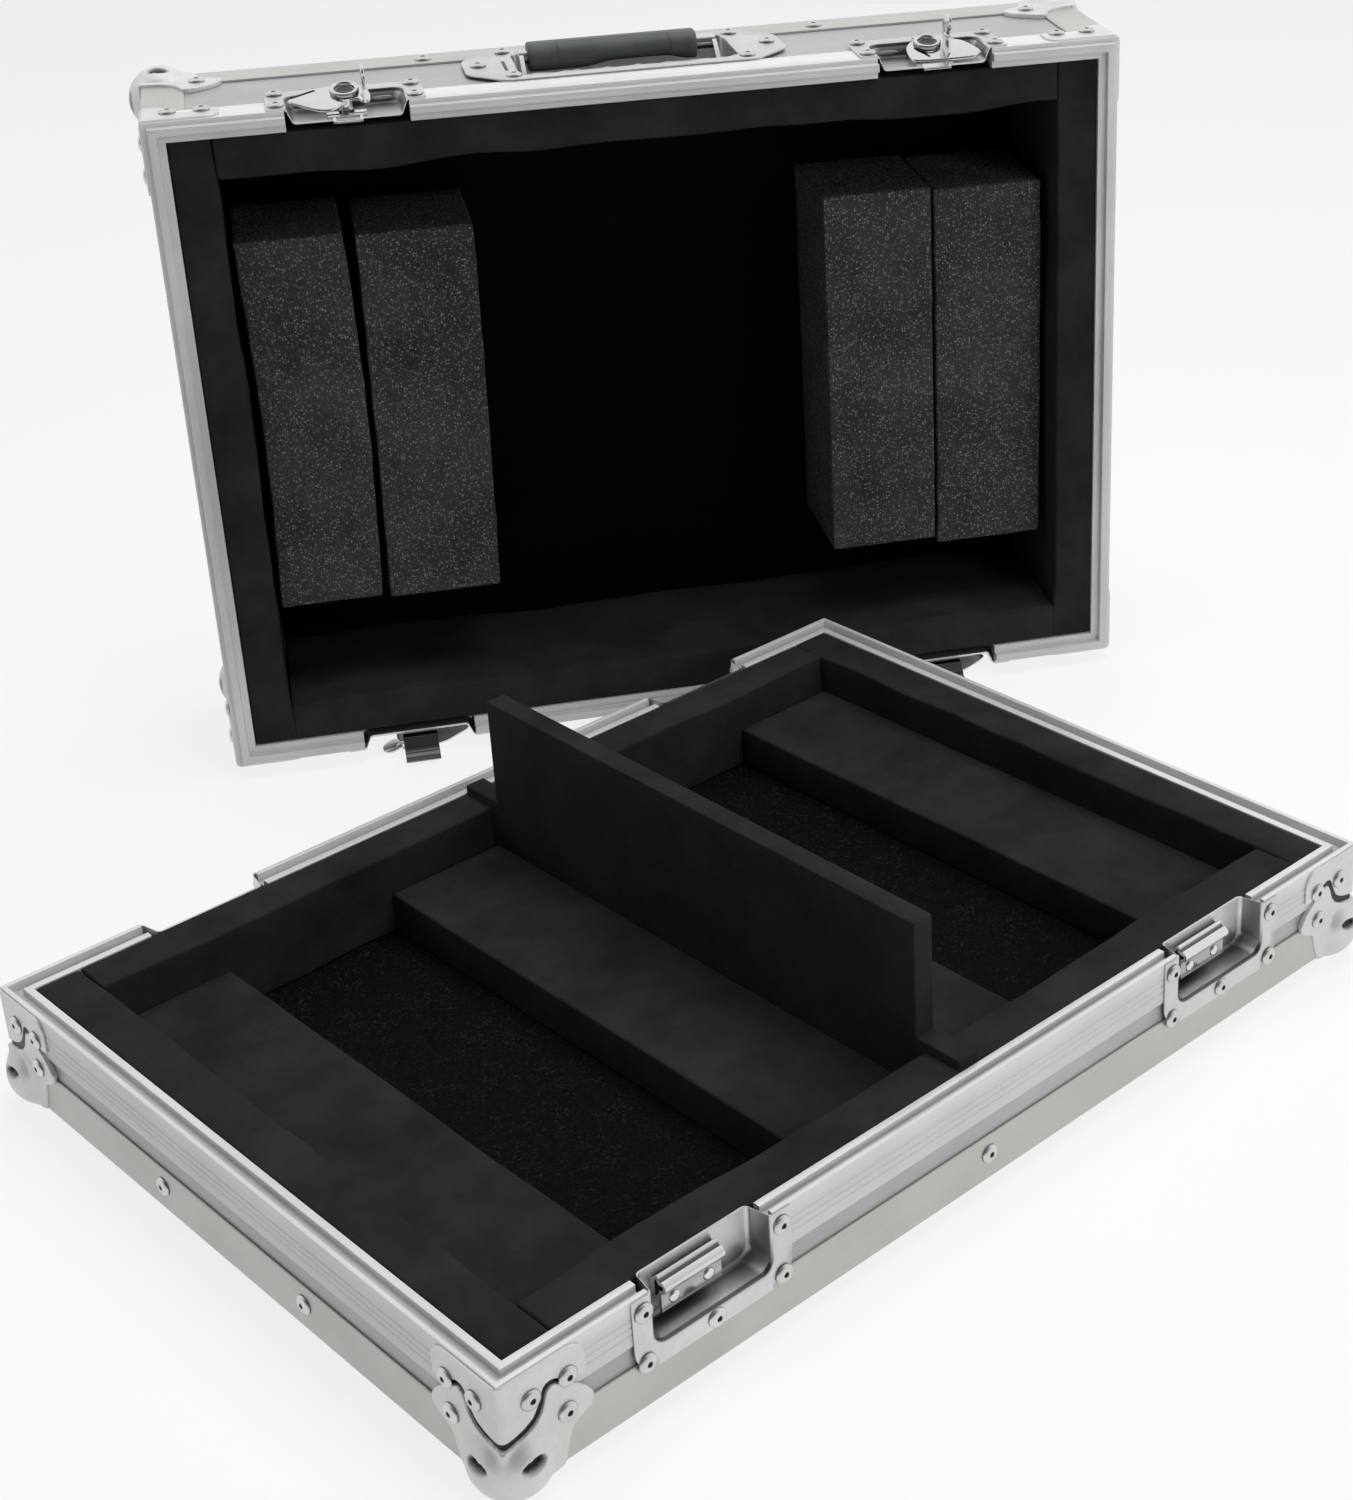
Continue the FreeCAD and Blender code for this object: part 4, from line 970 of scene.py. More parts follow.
def cloth(name, dark, light, fleck_scale, fleck_share):
    """Matted black fibre with pale flecks."""
    made, tree, shader, where = new_material(name, CLOTH_LEVELS)
    fibre = noise_node(tree, where, fleck_scale, *FIBRE_NOISE)
    tufts = range_node(tree, noise_node(tree, where, fleck_scale * TUFT_SCALE, TUFT_DETAIL), *TUFT_SPAN)
    flecks = range_node(tree, fibre, 0, 1, fleck_share, fleck_share + FLECK_FADE)
    shade = math_node(tree, "MULTIPLY", flecks, tufts)
    tree.links.new(mix_colours(tree, shade, (*dark, 1), (*light, 1)), shader["Base Color"])
    add_relief(tree, shader, fibre, *CLOTH_RELIEF)
    return made


def add_cloth_sheet(shape, half_x, half_y, near, far, seed):
    """Sheet of matted fibre whose seen face is slightly uneven."""
    across, down = CLOTH_GRID
    height, length, lift = CLOTH_WAVE
    faces = []
    for depth, rough in ((near, height), (far, 0.0)):
        grid = []
        for row in range(down + 1):
            line = []
            for column in range(across + 1):
                spot = Vector((half_x * (2 * column / across - 1), half_y * (2 * row / down - 1), depth))
                edge = column in (0, across) or row in (0, down)
                if not edge:
                    spot.z += rough * (noise.noise(spot / length + Vector((seed, 0, 0))) + lift)
                line.append(shape.verts.new(spot))
            grid.append(line)
        faces.append(grid)
    for grid in faces:
        join_rows(shape, grid)
    for end in (0, -1):
        join_rows(shape, [grid[end] for grid in faces])
        join_rows(shape, [[line[end] for line in grid] for grid in faces])


sheet_half = (HALF_WIDTH - WALL_SKIN, HALF_DEPTH - WALL_SKIN)
carpet_fibre = cloth("carpet_fibre", (0.003, 0.003, 0.004), (0.034, 0.037, 0.044), 620.0, 0.53)
felt_fibre = cloth("felt_fibre", (0.0012, 0.0012, 0.0014), (0.004, 0.004, 0.0045), 700.0, 0.5)
for tray, solid, fibre, slot_name, board in (
        ("base", "base_carpet", carpet_fibre, "carpet", "base_bottom_panel"),
        ("lid", "lid_felt", felt_fibre, "felt", "lid_top_panel")):
    back_of_sheet = HEIGHTS[tray] - WALL_SKIN
    shape = new_shape()
    add_cloth_sheet(shape, *sheet_half, back_of_sheet - CARPET_THICKNESS, back_of_sheet, len(tray))
    piece = seat(solid + "_matted", shape, tray, fibre, tray, solid)


# Foam liners.
# Planks of dense closed-cell foam glued inside the four walls of each tray, a little wavy. Those at the
# sides run from end to end. The others fit between them and bulge where the dishes push from behind.

LINER_NEAR = 12.3
LINER_THICKNESS = 24.0
LINER_DROP = 1.5
LINER_EDGE = 1.6
LINER_SEED = 0.37
LINER_WAVE = (2.0, 42.0, 80.0)
LINER_BULGE = (2.4, 40.0)
LINER_SAG = 1.2
LINER_LIFT = (0.35, 35.0, 25.0)
LINER_TOP = 10.0
SEAT_GAP = 0.3
EDGE_SHARES = (0.0, 0.25, 0.6, 1.0)
FOAM_LEVELS = {"Specular IOR Level": 0.2, "Roughness": 0.95}
FOAM_CLOUDS = (22.0, 7.0, 0.68)
FOAM_CLOUD_SPAN = (-0.15, 0.85, 0.32, 0.68)
FOAM_FINE = (0.6, 3.0, 0.7)
FOAM_FINE_SHARE = 0.3
FOAM_RELIEF = 0.5
GLINT_CHANCE = (0, 1, 0.45, 1.0)
GLINT_SIZE = (1, 0, 0.15, 0.55)
liner_far = LINER_NEAR + LINER_THICKNESS


def lines_between(low, high, edge, spacing):
    """Places of the grid lines of a soft block along one axis, close together at its rounded edges."""
    count = max(1, round((high - low - 2 * edge) / spacing))
    inner = [low + edge + (high - low - 2 * edge) * step / count for step in range(1, count)]
    ends = [[start + way * edge * share for share in EDGE_SHARES] for start, way in ((low, 1), (high, -1))]
    return ends[0] + inner + ends[1][::-1]


def add_soft_block(shape, x, y, z, edge, spacing=9.0, bend=None):
    """Foam block with rounded edges, whose places may be bent by a function."""
    lines = [lines_between(*span, edge, spacing) for span in (x, y, z)]
    inner = [(span[0] + edge, span[1] - edge) for span in (x, y, z)]
    made = {}

    def vertex(key):
        if key not in made:
            spot = Vector([lines[axis][key[axis]] for axis in range(3)])
            core = Vector([min(max(spot[axis], inner[axis][0]), inner[axis][1]) for axis in range(3)])
            out = spot - core
            if out.length > 0:
                spot = core + out.normalized() * edge
            made[key] = shape.verts.new(bend(spot) if bend else spot)
        return made[key]

    last = [len(line) - 1 for line in lines]
    for axis in range(3):
        first, second = [other for other in range(3) if other != axis]
        for end in (0, last[axis]):
            for i in range(last[first]):
                for j in range(last[second]):
                    corners = []
                    for step_i, step_j in ((0, 0), (1, 0), (1, 1), (0, 1)):
                        key = [0, 0, 0]
                        key[axis], key[first], key[second] = end, i + step_i, j + step_j
                        corners.append(vertex(tuple(key)))
                    shape.faces.new(corners)


def foam(name, dark, light, cell_scale, cell_depth, painted_glint=None):
    """Foam with slow changes of shade from handling, and pale glints painted on some of its fine cells when a
    glint colour is given.
    """
    made, tree, shader, where = new_material(name, FOAM_LEVELS)
    cells = add_node(tree, "ShaderNodeTexVoronoi", {"Vector": where, "Scale": cell_scale}).outputs
    clouds = range_node(tree, noise_node(tree, where, *FOAM_CLOUDS), *FOAM_CLOUD_SPAN)
    fine = noise_node(tree, where, cell_scale * FOAM_FINE[0], *FOAM_FINE[1:])
    shade = math_node(tree, "MULTIPLY_ADD", fine, FOAM_FINE_SHARE, clouds)
    colour = mix_colours(tree, shade, (*dark, 1), (*light, 1))
    # Painted glints: pale specks on some of the cells.
    if painted_glint:
        chance = add_node(tree, "ShaderNodeSeparateColor", {"Color": cells["Color"]})
        bright = range_node(tree, chance.outputs[0], *GLINT_CHANCE)
        spot = range_node(tree, cells["Distance"], *GLINT_SIZE)
        colour = mix_colours(tree, math_node(tree, "MULTIPLY", bright, spot), colour, (*painted_glint, 1))
    tree.links.new(colour, shader["Base Color"])
    add_relief(tree, shader, math_node(tree, "ADD", cells["Distance"], fine), FOAM_RELIEF, cell_depth)
    return made


def seat_foam(name, shape, tray, material, body, solid):
    """Seat a foam piece."""
    piece = seat(name, shape, tray, material, body, solid, flat_angle=70)


def liner_bend(wall, tray):
    """Wavy inner side of a liner, pushed out at the dishes and sunk a little between them."""
    seed = Vector((WALL_TURNS[wall] * LINER_SEED, len(tray), 0))

    def bend(spot):
        height, along, down = LINER_WAVE
        bulge, spread = LINER_BULGE
        push = height * noise.noise(Vector((spot.x / along, 0, spot.z / down)) + seed)
        if wall in LONG_WALLS:
            for middle in (-LATCH_OFFSET, LATCH_OFFSET):
                push += bulge * math.exp(-((spot.x - middle) / spread) ** 2)
            push -= LINER_SAG
        push = min(push, bulge) * max(0, (spot.y - LINER_NEAR) / LINER_THICKNESS)
        rise, along, across = LINER_LIFT
        lift = rise * noise.noise(Vector((spot.x / along, spot.y / across, 0)) + seed)
        return Vector((spot.x, spot.y + push, spot.z + (lift if spot.z < LINER_TOP else 0)))

    return bend


dense_foam = foam("dense_foam", (0.0145, 0.0135, 0.0145), (0.031, 0.0285, 0.0295), 2600.0, 0.0003)
carpet_depth = BASE_HEIGHT - WALL_SKIN - CARPET_THICKNESS
felt_depth = LID_HEIGHT - WALL_SKIN - CARPET_THICKNESS
for tray, floor in (("base", carpet_depth), ("lid", felt_depth)):
    for wall in WALL_TURNS:
        half = wall_run(wall) - (liner_far + SEAT_GAP if wall in LONG_WALLS else LINER_NEAR)
        shape = new_shape()
        add_soft_block(shape, (-half, half), (LINER_NEAR, liner_far), (LINER_DROP, floor), LINER_EDGE,
                       bend=liner_bend(wall, tray))
        bmesh.ops.transform(shape, matrix=on_wall(wall), verts=shape.verts)
        solid = tray + "_liner_" + wall
        seat_foam(solid + "_plank", shape, tray, dense_foam, tray, solid)


# Floor strips.
# Three foam strips glued on the carpet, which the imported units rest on. They butt against the front and rear
# liners.

STRIP_HEIGHT = 24.0
SIDE_STRIP = 68.0
CENTRE_STRIP = 152.0
STRIP_WAVE = (0.5, 0.3, 55.0)
strip_depth = carpet_depth - STRIP_HEIGHT
strip_half = HALF_DEPTH - liner_far - SEAT_GAP
inner_edge = HALF_WIDTH - liner_far
STRIPS = {
    "left_strip": (-inner_edge, SIDE_STRIP - inner_edge),
    "centre_strip": (-CENTRE_STRIP / 2, CENTRE_STRIP / 2),
    "right_strip": (inner_edge - SIDE_STRIP, inner_edge),
}


def strip_bend(spot):
    """Slight unevenness of cut foam."""
    across, up, length = STRIP_WAVE
    wave = noise.noise(spot / length)
    return spot + Vector((across * wave, 0, -up * wave if spot.z < carpet_depth - 1 else 0))


for solid, span in STRIPS.items():
    shape = new_shape()
    add_soft_block(shape, span, (-strip_half, strip_half), (strip_depth, carpet_depth), LINER_EDGE,
                   bend=strip_bend)
    seat_foam(solid + "_cut", shape, "base", dense_foam, "base", solid)


# Divider.
# A foam board 12 mm thick that stands across the middle of the base. Its long foot drops into slots in the
# front and rear liners, and it pulls straight up.

DIVIDER_THICKNESS = 12.0
DIVIDER_HEIGHT = 90.0
DIVIDER_STEP = 28.0
DIVIDER_END_GAP = 4.0
DIVIDER_EDGE = 0.9
DIVIDER_LAP = 1.5
foot_half = HALF_DEPTH - LINER_NEAR - SEAT_GAP
board_half = HALF_DEPTH - liner_far - DIVIDER_END_GAP
shape = new_shape()
thin = (-DIVIDER_THICKNESS / 2, DIVIDER_THICKNESS / 2)
add_soft_block(shape, thin, (-board_half, board_half), (strip_depth - DIVIDER_HEIGHT, strip_depth),
               DIVIDER_EDGE)
for end in (-1, 1):
    reach = sorted((end * (board_half - DIVIDER_LAP), end * foot_half))
    add_soft_block(shape, thin, reach, (strip_depth - DIVIDER_STEP, strip_depth), DIVIDER_EDGE)
seat_foam("divider_board", shape, "base", dense_foam, "divider", "divider")


# Foam blocks in the lid.
# Four tall blocks of open-cell foam, with pale glints painted on their cells, glued to the felt in pairs. They
# press on the imported units and have settled a little out of square.

BLOCK_SETBACK = 20.0
BLOCK_EDGE = 1.4
BLOCK_SPACING = 6.0
BLOCK_RIPPLE = (0.6, 16.0)
BLOCKS = {
    "left_foam_blocks": [
        {"top": (-240.5, -178.5), "foot": (-241.5, -180.5), "ends": (-122.0, 107.0), "bow": 3.0},
        {"top": (-171.5, -104.0), "foot": (-175.5, -108.5), "ends": (-120.0, 109.0), "bow": 0.6}],
    "right_foam_blocks": [
        {"top": (103.5, 170.2), "foot": (103.0, 169.6), "ends": (-114.5, 115.0), "bow": 0.0},
        {"top": (171.8, 239.0), "foot": (171.2, 238.5), "ends": (-112.6, 119.0), "bow": 0.4}],
}


def block_bend(block):
    """Lean and bow of a settled block, with the unevenness of its cut faces."""
    start, end = block["ends"]
    left, right = block["top"]

    def bend(spot):
        share = (spot.y - start) / (end - start)
        across = (spot.x - left) / (right - left)
        sides = [top + (foot - top) * share for top, foot in zip(block["top"], block["foot"])]
        run = sides[0] + (sides[1] - sides[0]) * across + block["bow"] * math.sin(math.pi * share)
        height, length = BLOCK_RIPPLE
        ripple = height * noise.noise(spot / length)
        return Vector((run + ripple, spot.y + ripple, spot.z + (ripple if spot.z < felt_depth - 1 else 0)))

    return bend


# Its last colour is the painted glint on its cells.
open_foam = foam("open_foam", (0.025, 0.028, 0.026), (0.055, 0.061, 0.056), 760.0, 0.0012, (0.28, 0.31, 0.28))
for solid, blocks in BLOCKS.items():
    shape = new_shape()
    for block in blocks:
        add_soft_block(shape, block["top"], block["ends"], (BLOCK_SETBACK, felt_depth), BLOCK_EDGE,
                       BLOCK_SPACING, block_bend(block))
    seat_foam(solid + "_cut", shape, "lid", open_foam, "lid", solid)


# Handle.
# A plated plate with a pressed well, riveted into the lid's front wall. A chromed bail swings on a pin across
# the well and carries a moulded rubber grip with a shallow panel on its face.

HANDLE_CHAMFER = 21.0
HANDLE_WELL = (128.0, 56.0, 27.0)
HANDLE_WELL_CORNER = 8.0
plate_face = HANDLE_PLATE[2]
well_floor = -HANDLE_WELL[2]
PLATE_ROUND = 6.0
PLATE_EDGE_STEPS = [(0.3, 0.02), (0.0, 0.35), (0.1, plate_face - 0.5), (0.8, plate_face)]
WELL_STEPS = [
    (-1.9, plate_face), (-1.0, plate_face - 0.1), (-0.3, plate_face - 0.6), (0.0, plate_face - 1.6),
    (0.6, well_floor + 3.0), (2.6, well_floor + 0.7), (5.0, well_floor)]
WELL_BACK_STEPS = [(-2.0, 0.02), (-1.2, well_floor + 2.0), (2.4, well_floor - 1.2)]
WELL_RIPPLE = 0.6
WELL_POINTS = 16
PLATE_SLOT = (-70.5, 12.0, -5.0)
PLATE_SLOT_HALF = 1.1
PLATE_SLOT_STEPS = [(0.0, plate_face - 0.2), (0.1, plate_face + 0.03)]
SLIT_ROUND = 0.8
GRIP_LENGTH = 99.0
GRIP_RADIUS = 10.5
GRIP_LIFT = 3.0
GRIP_OFFSET = 6.0
GRIP_SLIDE = -6.3
GRIP_FLAT = 0.83
GRIP_SQUARE = (2.7, 0.94)
GRIP_END = (1.2, 0.8, 0.3)
GRIP_GRID = (2.5, 7.5)
GRIP_BELLY = (0.38, -9.0, 38.0)
GRIP_BELLY_SLOPES = (3.0, 2.5)
GRIP_PANEL = (33.0, 108.0, 189.0)
GRIP_GROOVE = 0.55
GRIP_GROOVE_SIDES = (0.6, 3.2)
GRIP_GROOVE_PAINTED_SHADE = 0.7
BAIL_RADIUS = 4.0
BAIL_ENDS = (-61.0, 55.5)
BAIL_ARM = (9.0, 2.5)
BAIL_ARM_PROUD = 0.05
PIN_DROP = 13.0
PIN_OFFSET = -15.0
RUBBER_LEVELS = {"Specular IOR Level": 0.4}
RUBBER_CLOUDS = (60.0, 4.0)
RUBBER_CLOUD_SPAN = (0, 1, 0.3, 0.7)
RUBBER_GLOSS = (0.42, 0.6)
RUBBER_GRAIN = (1500.0, 2.0)
RUBBER_RELIEF = (0.15, 0.0003)


def moulded(name, dark, light):
    """Rubber with a fine moulded grain."""
    made, tree, shader, where = new_material(name, RUBBER_LEVELS)
    shade = range_node(tree, noise_node(tree, where, *RUBBER_CLOUDS), *RUBBER_CLOUD_SPAN)
    tree.links.new(mix_colours(tree, shade, (*dark, 1), (*light, 1)), shader["Base Color"])
    tree.links.new(range_node(tree, shade, *RUBBER_GLOSS), shader["Roughness"])
    add_relief(tree, shader, noise_node(tree, where, *RUBBER_GRAIN), *RUBBER_RELIEF)
    return made


def flat_fill(shape, outer, inner):
    """Flat face between two closed rings of points."""
    edges = []
    for ring in (outer, inner):
        for here, there in zip(ring, ring[1:] + ring[:1]):
            edges.append(shape.edges.get((here, there)) or shape.edges.new((here, there)))
    bmesh.ops.triangle_fill(shape, use_beauty=True, edges=edges)


def well_mouth():
    """Outline of the well, with points along its long sides for the ripple of its lip."""
    run, side, corner = HANDLE_WELL[0] / 2, HANDLE_WELL[1] / 2, HANDLE_WELL_CORNER
    long_side = [step / WELL_POINTS * (run - corner) for step in range(-WELL_POINTS, WELL_POINTS + 1)]
    mouth = [(spot, -side) for spot in long_side]
    for step in range(1, 7):
        turn = math.radians(15 * step - 90)
        mouth.append((run - corner * (1 - math.cos(turn)), corner * (1 + math.sin(turn)) - side))
    mouth += [(mouth[-1][0], 0.0)]
    mouth += [(spot, -depth) for spot, depth in reversed(mouth[len(long_side):-1])]
    return mouth + [(-spot, -depth) for spot, depth in mouth]


def handle_plate():
    """Plate with chamfered ends and its well, a closed sheet that is drawn in the wall's plane."""
    shape = new_shape()
    half, side = HANDLE_PLATE[0] / 2, HANDLE_PLATE[1] / 2
    straight, end_half = half - HANDLE_CHAMFER, side - HANDLE_CHAMFER
    quarter = [(-half, -end_half), (-straight, -side), (straight, -side), (half, -end_half)]
    outer = rounded(quarter + [(-run, -depth) for run, depth in quarter], PLATE_ROUND, 4)
    mouth = well_mouth()
    place = on_wall("front", HANDLE_SHIFT) @ Matrix.Translation((0, 0, HANDLE_DEPTH)) @ FACING_OUT
    edge = add_rings(shape, outer, PLATE_EDGE_STEPS, place)
    well = add_rings(shape, mouth, WELL_STEPS[:1], place)
    well += add_rings(shape, mouth, WELL_STEPS[1:3], place, WELL_RIPPLE)
    well += add_rings(shape, mouth, WELL_STEPS[3:], place)
    join_rows(shape, well[0:2], closed=True)
    join_rows(shape, well[2:4], closed=True)
    shape.faces.new(well[-1])
    behind = add_rings(shape, mouth, WELL_BACK_STEPS, place)
    shape.faces.new(behind[-1])
    flat_fill(shape, edge[-1], well[0])
    flat_fill(shape, edge[0], behind[0])
    slot_run, slot_half, slot_drop = PLATE_SLOT
    slot = [(-PLATE_SLOT_HALF, -slot_half), (PLATE_SLOT_HALF, -slot_half),
            (PLATE_SLOT_HALF, slot_half), (-PLATE_SLOT_HALF, slot_half)]
    # The slot is drawn as a thin patch of painted shade on the plate.
    add_stack(shape, rounded(slot, SLIT_ROUND), PLATE_SLOT_STEPS,
              place @ Matrix.Translation((slot_run, slot_drop, 0)), (1.0, 1.0))
    return shape


def grip_sleeve():
    """Sleeve of a flattened round section, hollowed for the fingers, with a groove round its face's panel."""
    shape = new_shape()
    dark = shape.verts.layers.float["hollow"]
    half = GRIP_LENGTH / 2
    panel_run, panel_low, panel_high = GRIP_PANEL
    belly, belly_start, belly_end = GRIP_BELLY
    power, square_share = GRIP_SQUARE
    end_round, end_share, end_edge = GRIP_END
    run_step, turn_step = GRIP_GRID
    run_side, turn_side = GRIP_GROOVE_SIDES
    runs = sorted(set([side * (half - step) for side in (-1, 1) for step in (0, end_edge, end_round)]
                      + [side * (panel_run + step) for side in (-1, 1) for step in (-run_side, 0, run_side)]
                      + [run_step * step for step in range(-18, 19)]))
    turns = sorted(set([turn_step * step for step in range(48)]
                       + [limit + step for limit in (panel_low, panel_high)
                          for step in (-turn_side, 0, turn_side)]))
    rings = []
    for run in runs:
        end_trim = max(0.0, end_round - (half - abs(run)))
        begun, ended = (1 + math.exp(way / slope) for way, slope in zip(
            (belly_start - run, run - belly_end), GRIP_BELLY_SLOPES))
        ring = []
        for turn in turns:
            angle = math.radians(turn)
            square = (abs(math.cos(angle)) ** power + abs(math.sin(angle)) ** power) ** (-1 / power)
            radius = GRIP_RADIUS * (square_share * square) - end_trim * end_trim * end_share
            on_side = abs(run) == panel_run and panel_low <= turn <= panel_high
            groove = on_side or (turn in (panel_low, panel_high) and abs(run) <= panel_run)
            radius -= GRIP_GROOVE if groove else 0.0
            height = GRIP_FLAT * radius * math.sin(angle)
            height *= 1.0 if height > 0 else 1 - belly / begun / ended
            vertex = shape.verts.new((run + GRIP_SLIDE, radius * math.cos(angle), height))
            # The groove's points carry painted shade, which the rubber's material does not read.
            vertex[dark] = GRIP_GROOVE_PAINTED_SHADE if groove else 0.0
            ring.append(vertex)
        rings.append(ring)
    join_rows(shape, rings, closed=True)
    shape.faces.new(rings[0])
    shape.faces.new(rings[-1])
    place = on_wall("front", HANDLE_SHIFT) @ Matrix.Translation((0, -GRIP_LIFT, HANDLE_DEPTH + GRIP_OFFSET))
    bmesh.ops.transform(shape, matrix=place @ FACING_OUT, verts=shape.verts)
    return shape


def handle_bail():
    """Round bar through the grip, with a flat arm at each end down to the pin."""
    shape = new_shape()
    place = on_wall("front", HANDLE_SHIFT)
    bar = Vector((-GRIP_LIFT, HANDLE_DEPTH + GRIP_OFFSET))
    left, right = BAIL_ENDS
    width, gauge = BAIL_ARM
    add_bar(shape, [bar + Vector(spot) for spot in circle(BAIL_RADIUS, 20)], place, [(left, 0), (right, 0)])
    arm = strip_outline([tuple(bar), (PIN_DROP, HANDLE_DEPTH + PIN_OFFSET)], width)
    for start in (left - BAIL_ARM_PROUD, right + BAIL_ARM_PROUD - gauge):
        add_bar(shape, rounded(arm, width / 2, 5), place, [(start, 0), (start + gauge, 0)])
    return shape


grip_rubber = moulded("grip_rubber", (0.064, 0.070, 0.071), (0.092, 0.100, 0.100))
seat("handle_dish_pressed", handle_plate(), "lid", pressed_steel, "lid", "handle_dish")
dress("handle_pin", chrome)
seat("handle_bail_bent", handle_bail(), "lid", chrome, "handle", "handle_bail", flat_angle=50)
seat("handle_grip_moulded", grip_sleeve(), "lid", grip_rubber, "handle", "handle_grip", flat_angle=50)


# Twist latches.
# Chromed butterfly latches in the lid's dishes: a leaf-shaped plate turns on a spindle, and the eccentric pin
# under its boss draws a hook that grips the keeper. A thin fin folds up to turn it by, or lies flat.

SPINDLE_DEPTH = 14.0
SPINDLE_RADIUS = 4.0
LEAF = [
    (32.0, 0.7), (25.0, -4.9), (17.0, -10.6), (12.5, -12.4), (9.0, -12.4), (5.5, -10.4), (2.3, -7.4),
    (-3.3, -2.6), (-7.5, -2.8), (-9.2, -5.8), (-13.6, -5.8), (-14.4, 0.0), (-13.6, 7.2), (-9.8, 9.0),
    (-7.0, 11.4), (-1.0, 13.4), (7.5, 13.6), (14.9, 12.8), (22.0, 9.6), (29.2, 5.2)]
BROAD_LEAF = [
    (30.4, -7.6), (26.0, -12.4), (20.0, -13.2), (10.0, -13.4), (-4.0, -13.2), (-11.0, -12.4), (-13.2, -9.0),
    (-13.6, -2.0), (-12.6, 5.0), (-9.0, 10.5), (-4.0, 12.8), (6.0, 13.0), (15.3, 11.8), (22.8, 7.4),
    (28.5, -1.5)]
LEAF_ROUND = 2.6
PLATE_STEPS = [(1.4, -1.5), (0.3, -1.7), (0.0, -1.2), (0.1, -0.8), (0.5, -0.2), (1.3, 0.0)]
BOSS_SPOT = (0.3, 5.4)
BOSS_RADIUS = 8.2
BOSS_STEPS = [(0.0, -0.1), (0.0, 2.2), (0.6, 2.9), (1.9, 2.9), (2.5, 2.3), (2.8, 1.0), (3.6, 0.7)]
# Painted shade at the foot of the boss and in the dip on its top.
BOSS_PAINTED_SHADES = (0.75, 0.5, 0.0, 0.0, 0.0, 0.5, 0.9)
SLIT_HALF = 1.0
SLIT_STEPS = [(0.0, -0.3), (0.1, 0.03)]
FIN_SPOT = 10.8
FIN_AXIS_LIFT = 6.8
FIN_OUTLINE = [
    (-5.2, -0.8), (-5.2, 2.0), (-8.2, 4.2), (-9.8, 7.4), (-9.4, 10.6), (-6.6, 12.6), (-2.4, 12.7),
    (2.2, 10.4), (5.6, 7.0), (6.6, 4.4), (5.2, 2.0), (5.2, -0.8)]
FIN_ROUND = 1.6
FIN_STEPS = [(0.35, -0.8), (0.0, -0.5), (0.0, 0.5), (0.35, 0.8)]
FIN_BARREL = (1.3, 5.2)
FIN_PIN = (0.8, 7.25)
PIN_CHAMFER = 0.2
SPINDLE_SINK = 0.6
BRACKET_HALF = 6.8
BRACKET_SINK = 0.5
BRACKET_STEPS = [(0.2, -0.6), (0.0, -0.4), (0.0, 0.4), (0.2, 0.6)]
HOOK_GAUGE = 1.2
HOOK_HALF = 11.0
HOOK_SLOT_HALF = 4.3
HOOK_BED = (6.4, 27.0)
HOOK_NECK = (6.0, 0.4)
HOOK_LEG = 1.5
HOOK_ROUND = 0.5
HOOK_LAP = 0.2
HOOK_NECK_HALF = 10.9
LEAF_SLIT = ((16.6, 9.2), (29.0, 3.6))
FRONT_LATCH = {
    "wall": "front", "raised": True, "hook": [(6.4, 0.6), (6.7, -0.6), (8.0, -5.6)], "painted_shades": (0.0,),
    "lip_half": 8.2}
REAR_LATCH = {
    "wall": "rear", "raised": False, "long": -1, "plate": LEAF, "slit": LEAF_SLIT,
    "tilt": -6, "rise": 3.2, "open": False, "lip_half": 10.6,
    "hook": [(6.4, 0.6), (5.2, -2.6), (0.5, -7.4), (-2.2, -9.2), (-1.6, -10.8), (-4.2, -11.6),
             (-3.8, -13.4), (-6.2, -14.2)],
    # Painted shade along most of each rear hook's bend, left off at two of its corners.
    "painted_shades": (0.9, 0.85, 0.7, 0.0, 0.5, 0.0, 0.6, 0.8)}
LATCHES = {
    "front_left": {**FRONT_LATCH, "side": -1, "long": -1, "plate": LEAF, "slit": LEAF_SLIT,
                   "tilt": 17, "rise": 1.4, "open": True},
    "front_right": {**FRONT_LATCH, "side": 1, "long": 1, "plate": BROAD_LEAF,
                    "slit": ((-7.5, 1.6), (-2.1, -8.6)), "tilt": 15, "rise": -0.7, "open": False},
    "rear_left": {**REAR_LATCH, "side": 1},
    "rear_right": {**REAR_LATCH, "side": -1},
}
EDGEWISE = Matrix(((0, 0, 1, 0), (0, -1, 0, 0), (1, 0, 0, 0), (0, 0, 0, 1)))


